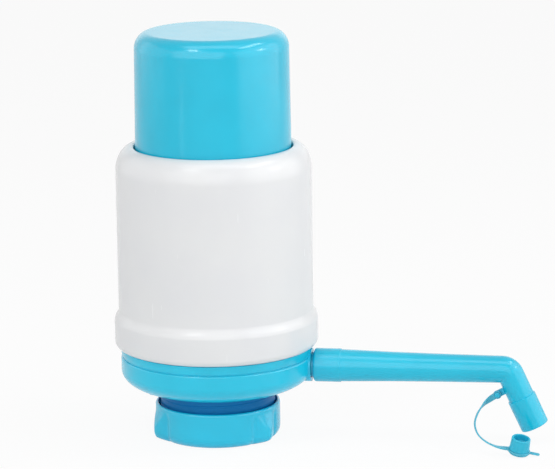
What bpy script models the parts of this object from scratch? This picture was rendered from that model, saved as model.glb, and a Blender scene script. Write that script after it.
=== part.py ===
"""Hand pump for a 19 litre water bottle: press cap, bellows, valves, screw clamp, spout and dust plug.

Units are metres, +Z is up and +X is the side that the spout leaves by. The pump stands on the foot
of its clamp ring at Z = 0, and the origin lies under the middle of its bounding box. Heights are
measured from that foot, and the places of the turned pieces from the pump's own axis.
"""

import math

import bmesh
import bpy
from mathutils import Matrix, Vector

MM = 0.001

# How finely round pieces are divided; each count is a multiple of four, so extents stay true.
LARGE_SEGMENTS = 36
MEDIUM_SEGMENTS = 28
SMALL_SEGMENTS = 16
TINY_SEGMENTS = 12
ARC_STEPS = 3
PIPE_RESOLUTION = 2

# Clearances between pieces, and how far a cutter runs past what it cuts.
seat_gap = 0.3 * MM
running_gap = 0.4 * MM
overrun = 2.0 * MM
merge_distance = 0.002 * MM

# The bottle that the pump clamps on.
bottle_neck_radius = 27.5 * MM

# Collet: the slotted claw ring that grips the bottle's neck.
collet_flange_height = 2.0 * MM
collet_height = 15.0 * MM
collet_wall = 1.2 * MM
collet_bottle_gap = 0.5 * MM
collet_rib = 0.25 * MM
collet_rib_height = 1.6 * MM
collet_edge = 0.4 * MM
collet_slot_count = 12
collet_slot_width = 2.2 * MM
collet_slot_floor = 1.6 * MM

# Clamp ring: the lobed nut at the bottom, which lifts the collet by the clamp travel.
clamp_travel = 4.0 * MM
ring_overlap = 10.3 * MM
ring_wall = 1.4 * MM
ring_rim_round = 0.8 * MM
ring_foot_round_width = 5.0 * MM
ring_foot_round_height = 6.0 * MM
ring_bottle_gap = 0.7 * MM
ring_shelf_height = 2.4 * MM
ring_lead_in_reach = 1.25 * MM
ring_lead_in_depth = 5.0 * MM
ring_lead_in_slope = 0.9 * MM
ring_segments = 60
lobe_count = 3
lobe_first_angle = math.radians(90)
lobe_reach = 2.2 * MM
lobe_valley_depth = 0.6 * MM
lobe_valley_steps = 3
lobe_top_drop = 1.1 * MM
lobe_toe = 1.0 * MM
lobe_foot_height = 3.0 * MM

# Bowl: the coloured base with the neck below it and the spout's port on its side.
bowl_radius = 52.1 * MM
bowl_wall = 2.4 * MM
bowl_floor = 3.1 * MM
bowl_curve_lift = 0.7 * MM
bowl_curve_height = 11.0 * MM
bowl_side_height = 11.5 * MM
bowl_lip_height = 1.1 * MM
bowl_lip_wall = 1.0 * MM
bowl_lip_round = 0.4 * MM
bowl_lip_step = 0.1 * MM
bowl_groove_drop = 3.9 * MM
bowl_groove_width = 0.7 * MM
bowl_groove_depth = 0.8 * MM
neck_wall = 1.45 * MM
neck_depth = 17.3 * MM
neck_edge = 0.4 * MM
neck_cone_reach = 0.5 * MM
neck_cone_lift = 4.0 * MM
neck_cone_height = 6.0 * MM
floor_air_radius = 2.2 * MM
floor_air_circle = 15.5 * MM
floor_air_count = 6
post_radius = 3.6 * MM
post_inset = 1.0 * MM
post_count = 4
post_bore_depth = 9.0 * MM

# Port: the horizontal socket that the spout turns in.
port_drop = 9.3 * MM
port_wall = 2.1 * MM
port_stand_out = 0.3 * MM
port_length = 15.4 * MM
port_depth = 10.4 * MM

# Deck: the plate that closes the bowl and carries the bellows and the shell.
deck_thickness = 2.4 * MM
deck_edge_height = 0.7 * MM
deck_collar_height = 5.3 * MM
deck_collar_wall = 2.2 * MM
deck_air_circle = 7.0 * MM
deck_air_count = 6
deck_air_radius = 1.9 * MM

# Umbrella valves: one in the deck, one in the bellows' top.
valve_stem_radius = 1.6 * MM
valve_head_radius = 2.7 * MM
valve_head_height = 1.4 * MM
valve_disc_thickness = 1.0 * MM
valve_disc_dish = 0.6 * MM
valve_travel = 1.2 * MM
delivery_disc_radius = 11.0 * MM
intake_disc_radius = 9.5 * MM

# Shell: the white body.
shell_overhang = 0.8 * MM
shell_wall = 2.2 * MM
shell_height = 110.1 * MM
shell_shoulder_height = 13.0 * MM
shell_lip_width = 0.9 * MM
shell_flare_reach = 2.3 * MM
shell_flare_height = 11.8 * MM
shell_flare_rise = 3.4 * MM
shell_foot_height = 3.5 * MM
shell_foot_round = 3.3 * MM
shell_collar_depth = 11.9 * MM
shell_collar_wall = 1.8 * MM
shell_ledge = 9.7 * MM

# Press cap: the coloured plunger.
cap_height = 62.3 * MM
cap_draft = 0.6 * MM
cap_wall = 2.2 * MM
cap_top_thickness = 2.4 * MM
cap_round = 8.8 * MM
cap_flange_reach = 3.2 * MM
cap_flange_thickness = 2.6 * MM
cap_shell_gap = 0.6 * MM
cap_rib_radius = 20.0 * MM
cap_rib_wall = 1.6 * MM
cap_rib_depth = 3.9 * MM
cap_rib_notch = 5.0 * MM
cap_rib_notch_depth = 2.2 * MM
cap_rib_notch_count = 4

# Bellows: the blown accordion that pumps the air and lifts the cap again.
bellows_cap_gap = 4.4 * MM
bellows_fold_depth = 7.0 * MM
bellows_wall = 0.9 * MM
bellows_fold_count = 10
bellows_neck_height = 3.8 * MM
bellows_mouth_step = 2.0 * MM
bellows_flange_reach = 6.3 * MM
bellows_flange_thickness = 1.4 * MM
bellows_top_step = 4.0 * MM
bellows_top_thickness = 1.2 * MM
bellows_vent_radius = 1.8 * MM
bellows_vent_circle = 6.0 * MM
bellows_vent_count = 4
bellows_seal_thickness = 1.0 * MM
retainer_lip_reach = 3.1 * MM
retainer_lip_thickness = 1.8 * MM
retainer_margin = 6.0 * MM

# Deck screws.
screw_radius = 1.6 * MM
screw_head_radius = 3.1 * MM
screw_head_height = 2.2 * MM
screw_length = 13.0 * MM
screw_slot_width = 0.9 * MM
screw_slot_depth = 0.9 * MM

# Water elbow: the duct from the bottle's tube to the port.
elbow_radius = 5.4 * MM
elbow_bore_radius = 3.6 * MM
elbow_bend_radius = 8.0 * MM
elbow_hub_wall = 2.3 * MM
elbow_hub_height = 6.6 * MM
elbow_flange_reach = 3.9 * MM
elbow_flange_thickness = 2.0 * MM
elbow_socket_depth = 5.2 * MM
elbow_collar_reach = 2.8 * MM
elbow_collar_width = 2.6 * MM
elbow_seal_radius = 1.1 * MM

# Tube connector: the barbed nipple that the bottle's tube pushes on.
connector_wall = 1.4 * MM
connector_flange_reach = 4.0 * MM
connector_flange_thickness = 2.6 * MM
connector_radius = 6.0 * MM
connector_barb_reach = 0.6 * MM
connector_barb_count = 3
connector_barb_pitch = 3.6 * MM
connector_length = 22.0 * MM

# Neck gasket: the soft washer that the bottle's rim seats on.
gasket_width = 6.7 * MM
gasket_thickness = 2.0 * MM

# Spout: a moulded tapered tube with a root sleeve, a bend and a nozzle sleeve.
spout_spigot_radius = 6.6 * MM
spout_spigot_bore_radius = 3.8 * MM
spout_port_gap = 1.4 * MM
spout_sleeve_length = 14.7 * MM
spout_sleeve_round = 1.2 * MM
spout_sleeve_step = 0.5 * MM
spout_arm_length = 88.7 * MM
spout_bend_start_radius = 7.2 * MM
spout_bend_radius = 8.0 * MM
spout_leg_radius = 6.5 * MM
spout_leg_length = 35.4 * MM
spout_wall = 1.5 * MM
spout_nozzle_angle = math.radians(61.7)
spout_bend_steps = 4
spout_segments = 20
nozzle_sleeve_length = 19.3 * MM
nozzle_sleeve_step = 0.75 * MM
nozzle_mouth_flare = 0.15 * MM
nozzle_mouth_wall = 1.7 * MM
nozzle_edge = 0.4 * MM
oring_radius = 0.75 * MM
oring_squeeze_gap = 0.2 * MM
oring_inset = 3.2 * MM
oring_spacing = 4.2 * MM
oring_count = 2

# Lug on the spout's nozzle with the pin that the strap hangs on.
lug_distance = 10.3 * MM
lug_length = 5.4 * MM
lug_root = 1.0 * MM
lug_width = 3.8 * MM
lug_thickness = 1.6 * MM
pin_radius = 1.0 * MM
pin_head_radius = 1.5 * MM
pin_head_length = 0.7 * MM

# Dust plug: a cup with a groove that the strap's ring sits in, standing beside the nozzle.
plug_ahead = 13.7 * MM
plug_aside = 28.0 * MM
plug_lift = 1.8 * MM
plug_lean_x = math.radians(10.5)
plug_lean_y = math.radians(10.0)
plug_button_radius = 5.3 * MM
plug_button_height = 0.5 * MM
plug_groove_radius = 4.5 * MM
plug_root_step = 0.9 * MM
plug_taper = 0.35 * MM
plug_height = 8.9 * MM
plug_wall = 1.1 * MM
plug_edge = 0.3 * MM

# Strap: an eye round the pin, a flat band, a ring round the plug and a pull tab.
strap_width = 3.6 * MM
strap_thickness = 0.9 * MM
strap_eye_radius = 2.3 * MM
strap_ring_wall = 1.2 * MM
strap_ring_thickness = 1.0 * MM
strap_tab_length = 5.2 * MM
strap_tab_width = 4.0 * MM
strap_steps = 24
strap_twist_share = 0.36
strap_level_share = 0.8

# The band's bends between the pin and the ring, as shares of the way along X, Y and Z.
strap_route_shares = [
    (-0.41, 0.04, 0.09),
    (-0.84, 0.13, 0.22),
    (-1.17, 0.27, 0.40),
    (-1.28, 0.44, 0.60),
    (-1.03, 0.64, 0.78),
    (-0.48, 0.80, 0.91),
    (0.24, 0.93, 0.98),
]

# Colours from the photograph, as linear RGB.
CYAN = (0.052, 0.533, 0.807, 1)
CYAN_DEEP = (0.040, 0.455, 0.720, 1)
WHITE = (0.870, 0.875, 0.885, 1)
NATURAL = (0.780, 0.800, 0.800, 1)
CLEAR_RUBBER = (0.620, 0.640, 0.640, 1)
BLACK_RUBBER = (0.020, 0.020, 0.022, 1)
STEEL = (0.600, 0.600, 0.600, 1)

# Radii from the bottle's neck outwards.
collet_inner_radius = bottle_neck_radius + collet_bottle_gap
collet_radius = collet_inner_radius + collet_wall
neck_bore_radius = collet_radius + seat_gap
neck_radius = neck_bore_radius + neck_wall
ring_opening_radius = bottle_neck_radius + ring_bottle_gap
ring_bore_radius = neck_radius + running_gap
ring_lead_in_radius = ring_bore_radius + ring_lead_in_reach
ring_radius = ring_lead_in_radius + ring_wall

# Heights from the clamp ring's foot up to the deck.
collet_bottom = ring_shelf_height + seat_gap
neck_bottom = collet_bottom + collet_flange_height + clamp_travel + seat_gap
ring_height = neck_bottom + ring_overlap
ceiling_height = neck_bottom + neck_depth
bowl_bottom = ceiling_height + bowl_curve_lift
bowl_curve_top = bowl_bottom + bowl_curve_height
floor_top = ceiling_height + bowl_floor
deck_seat_height = bowl_curve_top + bowl_side_height
bowl_lip_top = deck_seat_height + bowl_lip_height
bowl_inner_radius = bowl_radius - bowl_wall
port_height = deck_seat_height - port_drop
deck_bottom = deck_seat_height + seat_gap
deck_top = deck_bottom + deck_thickness
deck_radius = bowl_radius - bowl_lip_wall - seat_gap

# Shell, cap and bellows, from the outside in and from the bottom up.
shell_radius = bowl_radius + shell_overhang
shell_inner_radius = shell_radius - shell_wall
shell_flare_radius = shell_radius + shell_flare_reach
shell_opening_radius = shell_radius - shell_ledge
shell_bottom = bowl_lip_top + seat_gap
shell_top = shell_bottom + shell_height
shell_collar_bottom = shell_top - shell_collar_depth
deck_collar_radius = shell_inner_radius - running_gap
cap_skirt_radius = shell_opening_radius - cap_shell_gap
cap_radius = cap_skirt_radius - cap_draft
cap_skirt_inner_radius = cap_skirt_radius - cap_wall
cap_top = shell_top + cap_height
cap_inner_top = cap_top - cap_top_thickness
cap_rib_bottom = cap_inner_top - cap_rib_depth
cap_flange_top = shell_collar_bottom - seat_gap
cap_bottom = cap_flange_top - cap_flange_thickness
bellows_radius = cap_skirt_inner_radius - bellows_cap_gap
bellows_root_radius = bellows_radius - bellows_fold_depth
bellows_mouth_radius = bellows_root_radius + bellows_mouth_step
bellows_flange_radius = bellows_mouth_radius + bellows_flange_reach
bellows_top_height = cap_rib_bottom - seat_gap
bellows_plate_bottom = bellows_top_height - bellows_top_thickness
seal_bottom = deck_top + seat_gap
flange_bottom = seal_bottom + bellows_seal_thickness + seat_gap
flange_top = flange_bottom + bellows_flange_thickness
retainer_inner_radius = bellows_flange_radius + running_gap
retainer_top = flange_top + seat_gap + retainer_lip_thickness
screw_hole_radius = screw_radius + seat_gap
post_circle = retainer_inner_radius + post_inset + screw_hole_radius
retainer_radius = post_circle + retainer_margin

# The port and what plugs into it along +X.
port_bore_radius = spout_spigot_radius + running_gap
port_radius = port_bore_radius + port_wall
port_face = bowl_radius + port_stand_out
port_inner_face = port_face - port_length
port_stop = port_face - port_depth
connector_shank_radius = elbow_bore_radius + connector_wall
elbow_socket_radius = connector_shank_radius + seat_gap
spout_sleeve_start = port_face + spout_port_gap
spout_sleeve_end = spout_sleeve_start + spout_sleeve_length
spout_root_radius = port_radius - spout_sleeve_step
spout_corner = spout_sleeve_end + spout_arm_length
nozzle_sleeve_radius = spout_leg_radius + nozzle_sleeve_step
nozzle_mouth_radius = nozzle_sleeve_radius + nozzle_mouth_flare
nozzle_sleeve_start = spout_leg_length - nozzle_sleeve_length
oring_first = port_stop + oring_inset
oring_middle_radius = port_bore_radius - oring_squeeze_gap - oring_radius

# Points of the nozzle's leg, the strap's pin and the plug, in the pump's frame.
nozzle_direction = Vector((math.cos(spout_nozzle_angle), 0, -math.sin(spout_nozzle_angle)))
lug_direction = Vector((-math.sin(spout_nozzle_angle), 0, -math.cos(spout_nozzle_angle)))
spout_corner_point = Vector((spout_corner, 0, port_height))
lug_middle = spout_corner_point + nozzle_direction * lug_distance
pin_middle = lug_middle + lug_direction * (spout_leg_radius + lug_length - lug_width / 2)
eye_far_side = lug_thickness / 2 + seat_gap + strap_ring_thickness
eye_middle = pin_middle - Vector((0, eye_far_side - strap_ring_thickness / 2, 0))
plug_base = Vector((eye_middle.x + plug_ahead, -plug_aside, plug_lift))
plug_root_radius = plug_groove_radius + plug_root_step
plug_rim_radius = plug_root_radius - plug_taper
strap_ring_bottom = plug_button_height + seat_gap
strap_ring_middle = strap_ring_bottom + strap_ring_thickness / 2
strap_ring_radius = plug_groove_radius + seat_gap + strap_ring_wall
plug_cup_bottom = strap_ring_bottom + strap_ring_thickness + seat_gap

# The origin lies under the middle of the bounding box: between the shell's flare and the nozzle's mouth.
nozzle_reach = (
    spout_corner
    + (spout_leg_length - nozzle_edge) * nozzle_direction.x
    - nozzle_mouth_radius * lug_direction.x
)
axis_x = (shell_flare_radius - nozzle_reach) / 2

# Scene, collections and the empties that carry the moving pieces.
for old in list(bpy.data.objects):
    bpy.data.objects.remove(old, do_unlink=True)

parts = bpy.data.collections.new("hand_pump")
cutters = bpy.data.collections.new("cutters")
bpy.context.scene.collection.children.link(parts)
bpy.context.scene.collection.children.link(cutters)


def empty(name, location, parent=None):
    """An axis that pieces hang on; location is measured from the parent."""
    frame = bpy.data.objects.new(name, None)
    frame.empty_display_size = ring_radius
    frame.location = location
    frame.parent = parent
    parts.objects.link(frame)
    return frame


def material(name, colour, roughness, metallic=0):
    """A Principled material with one colour."""
    made = bpy.data.materials.new(name)
    made.use_nodes = True
    shader = made.node_tree.nodes["Principled BSDF"]
    shader.inputs["Base Color"].default_value = colour
    shader.inputs["Roughness"].default_value = roughness
    shader.inputs["Metallic"].default_value = metallic
    made.diffuse_color = colour
    return made


def linked(name, mesh, look, parent, location=(0, 0, 0), rotation=(0, 0, 0)):
    """One object of the pump, made from a mesh."""
    piece = bpy.data.objects.new(name, mesh)
    piece.location = location
    piece.rotation_euler = rotation
    piece.parent = parent
    if look is None:
        piece.hide_render = True
        piece.display_type = "WIRE"
        cutters.objects.link(piece)
    else:
        mesh.materials.append(look)
        parts.objects.link(piece)
    return piece


def turned(name, outline, look, parent, segments=LARGE_SEGMENTS, **place):
    """A profile of (radius, height) points turned about Z; it closes itself unless it ends on the axis."""
    open_ended = outline[0][0] == 0 and outline[-1][0] == 0
    mesh = bpy.data.meshes.new(name)
    points = [(radius, 0, height) for radius, height in outline]
    edges = [(i, i + 1) for i in range(len(points) - 1)]
    if not open_ended:
        edges.append((len(points) - 1, 0))
    mesh.from_pydata(points, edges, [])
    piece = linked(name, mesh, look, parent, **place)
    turn = piece.modifiers.new("turn", "SCREW")
    turn.axis = "Z"
    turn.angle = math.tau
    turn.steps = segments
    turn.render_steps = segments
    turn.use_merge_vertices = True
    turn.merge_threshold = merge_distance
    turn.use_smooth_shade = True
    return piece


def built(name, fill, look, parent, **place):
    """An object whose mesh is filled by a function that takes a bmesh."""
    mesh = bpy.data.meshes.new(name)
    form = bmesh.new()
    fill(form)
    bmesh.ops.recalc_face_normals(form, faces=form.faces)
    form.to_mesh(mesh)
    form.free()
    mesh.shade_smooth()
    mesh.set_sharp_from_angle(angle=math.radians(35))
    return linked(name, mesh, look, parent, **place)


def combine(piece, tool, operation="DIFFERENCE"):
    """Cuts a piece with another object, or joins that object to it."""
    step = piece.modifiers.new(tool.name, "BOOLEAN")
    step.operation = operation
    step.object = tool
    step.solver = "EXACT"


def add_cylinder(form, radius, low, high, segments=TINY_SEGMENTS, place=Matrix.Identity(4)):
    """A closed cylinder along local Z between two heights."""
    bmesh.ops.create_cone(
        form,
        cap_ends=True,
        segments=segments,
        radius1=radius,
        radius2=radius,
        depth=high - low,
        matrix=place @ Matrix.Translation((0, 0, (low + high) / 2)),
    )


def add_box(form, low, high, place=Matrix.Identity(4)):
    """A closed box between two corners."""
    size = [b - a for a, b in zip(low, high)]
    middle = [(a + b) / 2 for a, b in zip(low, high)]
    bmesh.ops.create_cube(form, size=1, matrix=place @ Matrix.Translation(middle) @ Matrix.Diagonal((*size, 1)))


def around(count, radius, first=0.0):
    """Places on a circle about Z, each turned to face outwards."""
    for step in range(count):
        turn = Matrix.Rotation(first + math.tau * step / count, 4, "Z")
        yield turn @ Matrix.Translation((radius, 0, 0))


def arc(centre_radius, centre_height, width, height, start, stop, steps=ARC_STEPS):
    """Points on a quarter of an ellipse; angles in degrees, 0 pointing outwards and 90 up."""
    for step in range(steps + 1):
        angle = math.radians(start + (stop - start) * step / steps)
        yield centre_radius + width * math.cos(angle), centre_height + height * math.sin(angle)


def add_rings(form, rings, closed):
    """Faces between neighbouring rings of equally many points, closed round or capped at both ends."""
    loops = [[form.verts.new(point) for point in ring] for ring in rings]
    pairs = list(zip(loops, loops[1:]))
    if closed:
        pairs.append((loops[-1], loops[0]))
    for upper, lower in pairs:
        for i in range(len(upper)):
            j = (i + 1) % len(upper)
            form.faces.new((upper[i], upper[j], lower[j], lower[i]))
    if not closed:
        form.faces.new(loops[0])
        form.faces.new(reversed(loops[-1]))


def lobe_offset(angle):
    """How far the ring's wall lies outside its round radius at an angle, for a full-height lobe."""
    step_angle = math.tau / ring_segments
    sector = math.tau / lobe_count
    away = (angle - lobe_first_angle + sector / 2) % sector - sector / 2
    steps = abs(away) / step_angle
    if steps >= lobe_valley_steps + 1:
        return 0.0
    if steps > lobe_valley_steps:
        return -lobe_valley_depth * (lobe_valley_steps + 1 - steps)
    return lobe_reach - (lobe_reach + lobe_valley_depth) * steps / lobe_valley_steps


def clamp_ring_rings():
    """The clamp ring's outer wall from rim to foot, then its inner wall from foot to rim."""
    angles = [lobe_first_angle + math.tau * step / ring_segments for step in range(ring_segments)]
    lobe_top = ring_height - lobe_top_drop
    lobe_bottom = ring_foot_round_height + lobe_toe

    def ring(height, radius_at):
        return [(radius_at(a) * math.cos(a), radius_at(a) * math.sin(a), height) for a in angles]

    def walled(height, inset=0.0):
        """The outer wall: lobes grow down a cone, and both wall and lobes draw in at the foot."""
        cone = lobe_reach * (lobe_top - height) / (lobe_top - lobe_bottom)
        return ring(height, lambda a: ring_radius - inset + min(lobe_offset(a), max(cone, 0.0)))

    rings = [walled(ring_height, ring_rim_round), walled(ring_height - ring_rim_round)]
    rings.append(walled(lobe_top))
    for step in range(1, lobe_valley_steps + 1):
        gained = lobe_offset(lobe_first_angle + (lobe_valley_steps - step) * math.tau / ring_segments)
        share = max(gained, 0.0) / lobe_reach
        if share > 0:
            rings.append(walled(lobe_top + (lobe_bottom - lobe_top) * share))
    foot_centre = ring_radius - ring_foot_round_width
    foot = arc(foot_centre, ring_foot_round_height, ring_foot_round_width, ring_foot_round_height, 0, -90)
    for radius, height in foot:
        kept = min(1.0, max(0.0, height / lobe_foot_height))
        rings.append(ring(height, lambda a, r=radius, k=kept: r + lobe_offset(a) * k))
    inner = [
        (ring_opening_radius, 0),
        (ring_opening_radius, ring_shelf_height),
        (ring_bore_radius, ring_shelf_height),
        (ring_bore_radius, ring_height - ring_lead_in_depth - ring_lead_in_slope),
        (ring_lead_in_radius, ring_height - ring_lead_in_depth),
        (ring_lead_in_radius, ring_height),
    ]
    for radius, height in inner:
        rings.append(ring(height, lambda a, r=radius: r))
    return rings


def make_clamp_ring(parent):
    look = material("clamp_ring", CYAN, 0.22)
    return built("clamp_ring", lambda form: add_rings(form, clamp_ring_rings(), True), look, parent)


def make_collet(parent):
    """A flange on the ring's shelf, with claws that rise inside the bowl's neck."""
    flange_top_height = collet_bottom + collet_flange_height
    top = collet_bottom + collet_height
    flange_radius = ring_bore_radius - running_gap
    outline = [
        (collet_inner_radius, top - collet_rib_height),
        (collet_inner_radius - collet_rib, top - collet_rib_height / 2),
        (collet_inner_radius, top),
        (collet_radius - collet_edge, top),
        (collet_radius, top - collet_rib_height),
        (collet_radius, flange_top_height),
        (flange_radius, flange_top_height),
        (flange_radius, collet_bottom),
        (collet_inner_radius, collet_bottom),
    ]
    collet = turned("neck_collet", outline, material("neck_collet", WHITE, 0.4), parent)

    def slots(form):
        for place in around(collet_slot_count, collet_radius):
            half = collet_slot_width / 2
            floor = flange_top_height + collet_slot_floor
            add_box(form, (-collet_wall - overrun, -half, floor), (overrun, half, top + overrun), place)

    combine(collet, built("collet_slots", slots, None, parent))
    return collet


def bowl_outline():
    """The bowl with its neck, clockwise from the inside of the lip."""
    lip_radius = bowl_radius - bowl_lip_step
    groove_top = deck_seat_height - bowl_groove_drop + bowl_groove_width / 2
    groove_bottom = groove_top - bowl_groove_width
    cone_radius = neck_bore_radius + neck_cone_reach
    cone_bottom = neck_bottom + neck_cone_lift
    outline = [
        (bowl_radius - bowl_lip_wall, bowl_lip_top),
        (lip_radius - bowl_lip_round, bowl_lip_top),
        (lip_radius, bowl_lip_top - bowl_lip_round),
        (lip_radius, groove_top),
        (lip_radius - bowl_groove_depth, groove_top - bowl_groove_width / 4),
        (lip_radius - bowl_groove_depth, groove_bottom + bowl_groove_width / 4),
        (bowl_radius, groove_bottom),
    ]
    curve_width = bowl_radius - neck_radius
    outline += arc(neck_radius, bowl_curve_top, curve_width, bowl_curve_height, 0, -90, 2 * ARC_STEPS)
    outline += [
        (neck_radius, neck_bottom + neck_edge),
        (neck_radius - neck_edge, neck_bottom),
        (cone_radius, neck_bottom),
        (cone_radius, cone_bottom),
        (neck_bore_radius, cone_bottom + neck_cone_height),
        (neck_bore_radius, ceiling_height),
        (elbow_socket_radius, ceiling_height),
        (elbow_socket_radius, floor_top),
    ]
    outline += arc(neck_radius, bowl_curve_top, bowl_inner_radius - neck_radius, bowl_curve_top - floor_top, -90, 0)
    outline += [
        (bowl_inner_radius, deck_seat_height),
        (bowl_radius - bowl_lip_wall, deck_seat_height),
    ]
    return outline


def post_foot_height():
    """A height inside the bowl's curved wall under the whole of a post."""
    outer_share = (post_circle + post_radius - neck_radius) / (bowl_radius - neck_radius)
    inner_share = (post_circle - post_radius - neck_radius) / (bowl_inner_radius - neck_radius)
    outer = bowl_curve_top - bowl_curve_height * math.sqrt(1 - outer_share**2)
    inner = bowl_curve_top - (bowl_curve_top - floor_top) * math.sqrt(1 - inner_share**2)
    return (outer + inner) / 2


def along_x(height):
    """Turns local Z to +X at a height."""
    return Matrix.Translation((0, 0, height)) @ Matrix.Rotation(math.pi / 2, 4, "Y")


def make_base_bowl(parent):
    bowl = turned("base_bowl", bowl_outline(), material("base_bowl", CYAN, 0.22), parent)
    port_place = along_x(port_height)

    def posts(form):
        for place in around(post_count, post_circle, math.pi / post_count):
            add_cylinder(form, post_radius, post_foot_height(), deck_seat_height, TINY_SEGMENTS, place)

    def port(form):
        add_cylinder(form, port_radius, port_inner_face, port_face, MEDIUM_SEGMENTS, port_place)

    def holes(form):
        bore_end = port_face + overrun
        add_cylinder(form, port_bore_radius, port_stop, bore_end, MEDIUM_SEGMENTS, port_place)
        for place in around(post_count, post_circle, math.pi / post_count):
            low = deck_seat_height - post_bore_depth
            add_cylinder(form, screw_hole_radius, low, deck_seat_height + overrun, TINY_SEGMENTS, place)
        for place in around(floor_air_count, floor_air_circle, math.pi / LARGE_SEGMENTS):
            add_cylinder(form, floor_air_radius, ceiling_height - overrun, floor_top + overrun, TINY_SEGMENTS, place)

    def port_throat(form):
        low = port_inner_face - overrun
        add_cylinder(form, elbow_radius + seat_gap, low, port_stop + overrun, MEDIUM_SEGMENTS, port_place)

    combine(bowl, built("bowl_posts", posts, None, parent), "UNION")
    combine(bowl, built("bowl_port", port, None, parent), "UNION")
    combine(bowl, built("bowl_holes", holes, None, parent))
    combine(bowl, built("port_throat", port_throat, None, parent))
    return bowl


def make_pump_deck(parent):
    stem_hole = valve_stem_radius + running_gap
    collar_inner_radius = deck_collar_radius - deck_collar_wall
    outline = [
        (stem_hole, deck_top),
        (collar_inner_radius, deck_top),
        (collar_inner_radius, deck_top + deck_collar_height),
        (deck_collar_radius, deck_top + deck_collar_height),
        (deck_collar_radius, deck_bottom + deck_edge_height),
        (deck_radius, deck_bottom + deck_edge_height),
        (deck_radius, deck_bottom),
        (stem_hole, deck_bottom),
    ]
    deck = turned("pump_deck", outline, material("pump_deck", CYAN_DEEP, 0.3), parent, MEDIUM_SEGMENTS)

    def holes(form):
        for place in around(deck_air_count, deck_air_circle):
            add_cylinder(form, deck_air_radius, deck_bottom - overrun, deck_top + overrun, TINY_SEGMENTS, place)
        for place in around(post_count, post_circle, math.pi / post_count):
            add_cylinder(form, screw_hole_radius, deck_bottom - overrun, deck_top + overrun, TINY_SEGMENTS, place)

    combine(deck, built("deck_holes", holes, None, parent))
    return deck


def umbrella_outline(plate_bottom, plate_top, disc_radius):
    """A soft valve: head above a plate, stem through it and a dished disc below it."""
    disc_top = plate_bottom - seat_gap
    disc_bottom = disc_top - valve_disc_thickness
    head_bottom = plate_top + seat_gap + valve_travel
    return [
        (0, head_bottom + valve_head_height),
        (valve_stem_radius, head_bottom + valve_head_height),
        (valve_head_radius, head_bottom),
        (valve_stem_radius, head_bottom),
        (valve_stem_radius, disc_top),
        (disc_radius, disc_top),
        (disc_radius, disc_top - valve_disc_thickness / 2),
        (valve_head_radius, disc_bottom),
        (valve_stem_radius, disc_bottom - valve_disc_dish),
        (0, disc_bottom - valve_disc_dish),
    ]


def make_valve(name, outline, parent):
    return turned(name, outline, material(name, CLEAR_RUBBER, 0.5), parent, SMALL_SEGMENTS)


def bellows_outline():
    """Clockwise: the top plate, the folds' outer side down, the flange, and the inner side up."""
    folds_bottom = flange_top + bellows_neck_height
    folds_top = bellows_plate_bottom
    pitch = (folds_top - folds_bottom) / bellows_fold_count
    plate_radius = bellows_root_radius - bellows_top_step
    outer = []
    inner = []
    for fold in range(bellows_fold_count):
        crest = folds_top - pitch * (fold + 1 / 2)
        outer.append((bellows_radius, crest))
        inner.append((bellows_radius - bellows_wall, crest))
        if fold < bellows_fold_count - 1:
            root = folds_top - pitch * (fold + 1)
            outer.append((bellows_root_radius, root))
            inner.append((bellows_root_radius - bellows_wall, root))
    neck = bellows_mouth_radius + bellows_wall
    stem_hole = valve_stem_radius + running_gap
    outline = [(stem_hole, bellows_top_height), (plate_radius, bellows_top_height)]
    outline += outer
    outline += [
        (neck, folds_bottom),
        (neck, flange_top),
        (bellows_flange_radius, flange_top),
        (bellows_flange_radius, flange_bottom),
        (bellows_mouth_radius, flange_bottom),
        (bellows_mouth_radius, folds_bottom),
    ]
    outline += reversed(inner)
    outline += [(plate_radius - bellows_wall, folds_top), (stem_hole, folds_top)]
    return outline


def make_bellows(parent):
    bellows = turned("bellows", bellows_outline(), material("bellows", NATURAL, 0.45), parent, SMALL_SEGMENTS)

    def vents(form):
        low = bellows_plate_bottom - overrun
        for place in around(bellows_vent_count, bellows_vent_circle):
            add_cylinder(form, bellows_vent_radius, low, bellows_top_height + overrun, TINY_SEGMENTS, place)

    combine(bellows, built("bellows_vents", vents, None, parent))
    return bellows


def make_bellows_seal(parent):
    outline = [
        (bellows_mouth_radius, seal_bottom + bellows_seal_thickness),
        (bellows_flange_radius, seal_bottom + bellows_seal_thickness),
        (bellows_flange_radius, seal_bottom),
        (bellows_mouth_radius, seal_bottom),
    ]
    return turned("bellows_seal", outline, material("bellows_seal", BLACK_RUBBER, 0.6), parent, MEDIUM_SEGMENTS)


def make_retainer(parent):
    """The ring that the four screws press on the bellows' flange."""
    lip_radius = bellows_flange_radius - retainer_lip_reach
    outline = [
        (lip_radius, retainer_top),
        (retainer_radius, retainer_top),
        (retainer_radius, seal_bottom),
        (retainer_inner_radius, seal_bottom),
        (retainer_inner_radius, flange_top + seat_gap),
        (lip_radius, flange_top + seat_gap),
    ]
    retainer = turned("bellows_retainer", outline, material("bellows_retainer", WHITE, 0.4), parent, MEDIUM_SEGMENTS)

    def holes(form):
        for place in around(post_count, post_circle, math.pi / post_count):
            add_cylinder(form, screw_hole_radius, seal_bottom - overrun, retainer_top + overrun, TINY_SEGMENTS, place)

    combine(retainer, built("retainer_holes", holes, None, parent))
    return retainer


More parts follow.
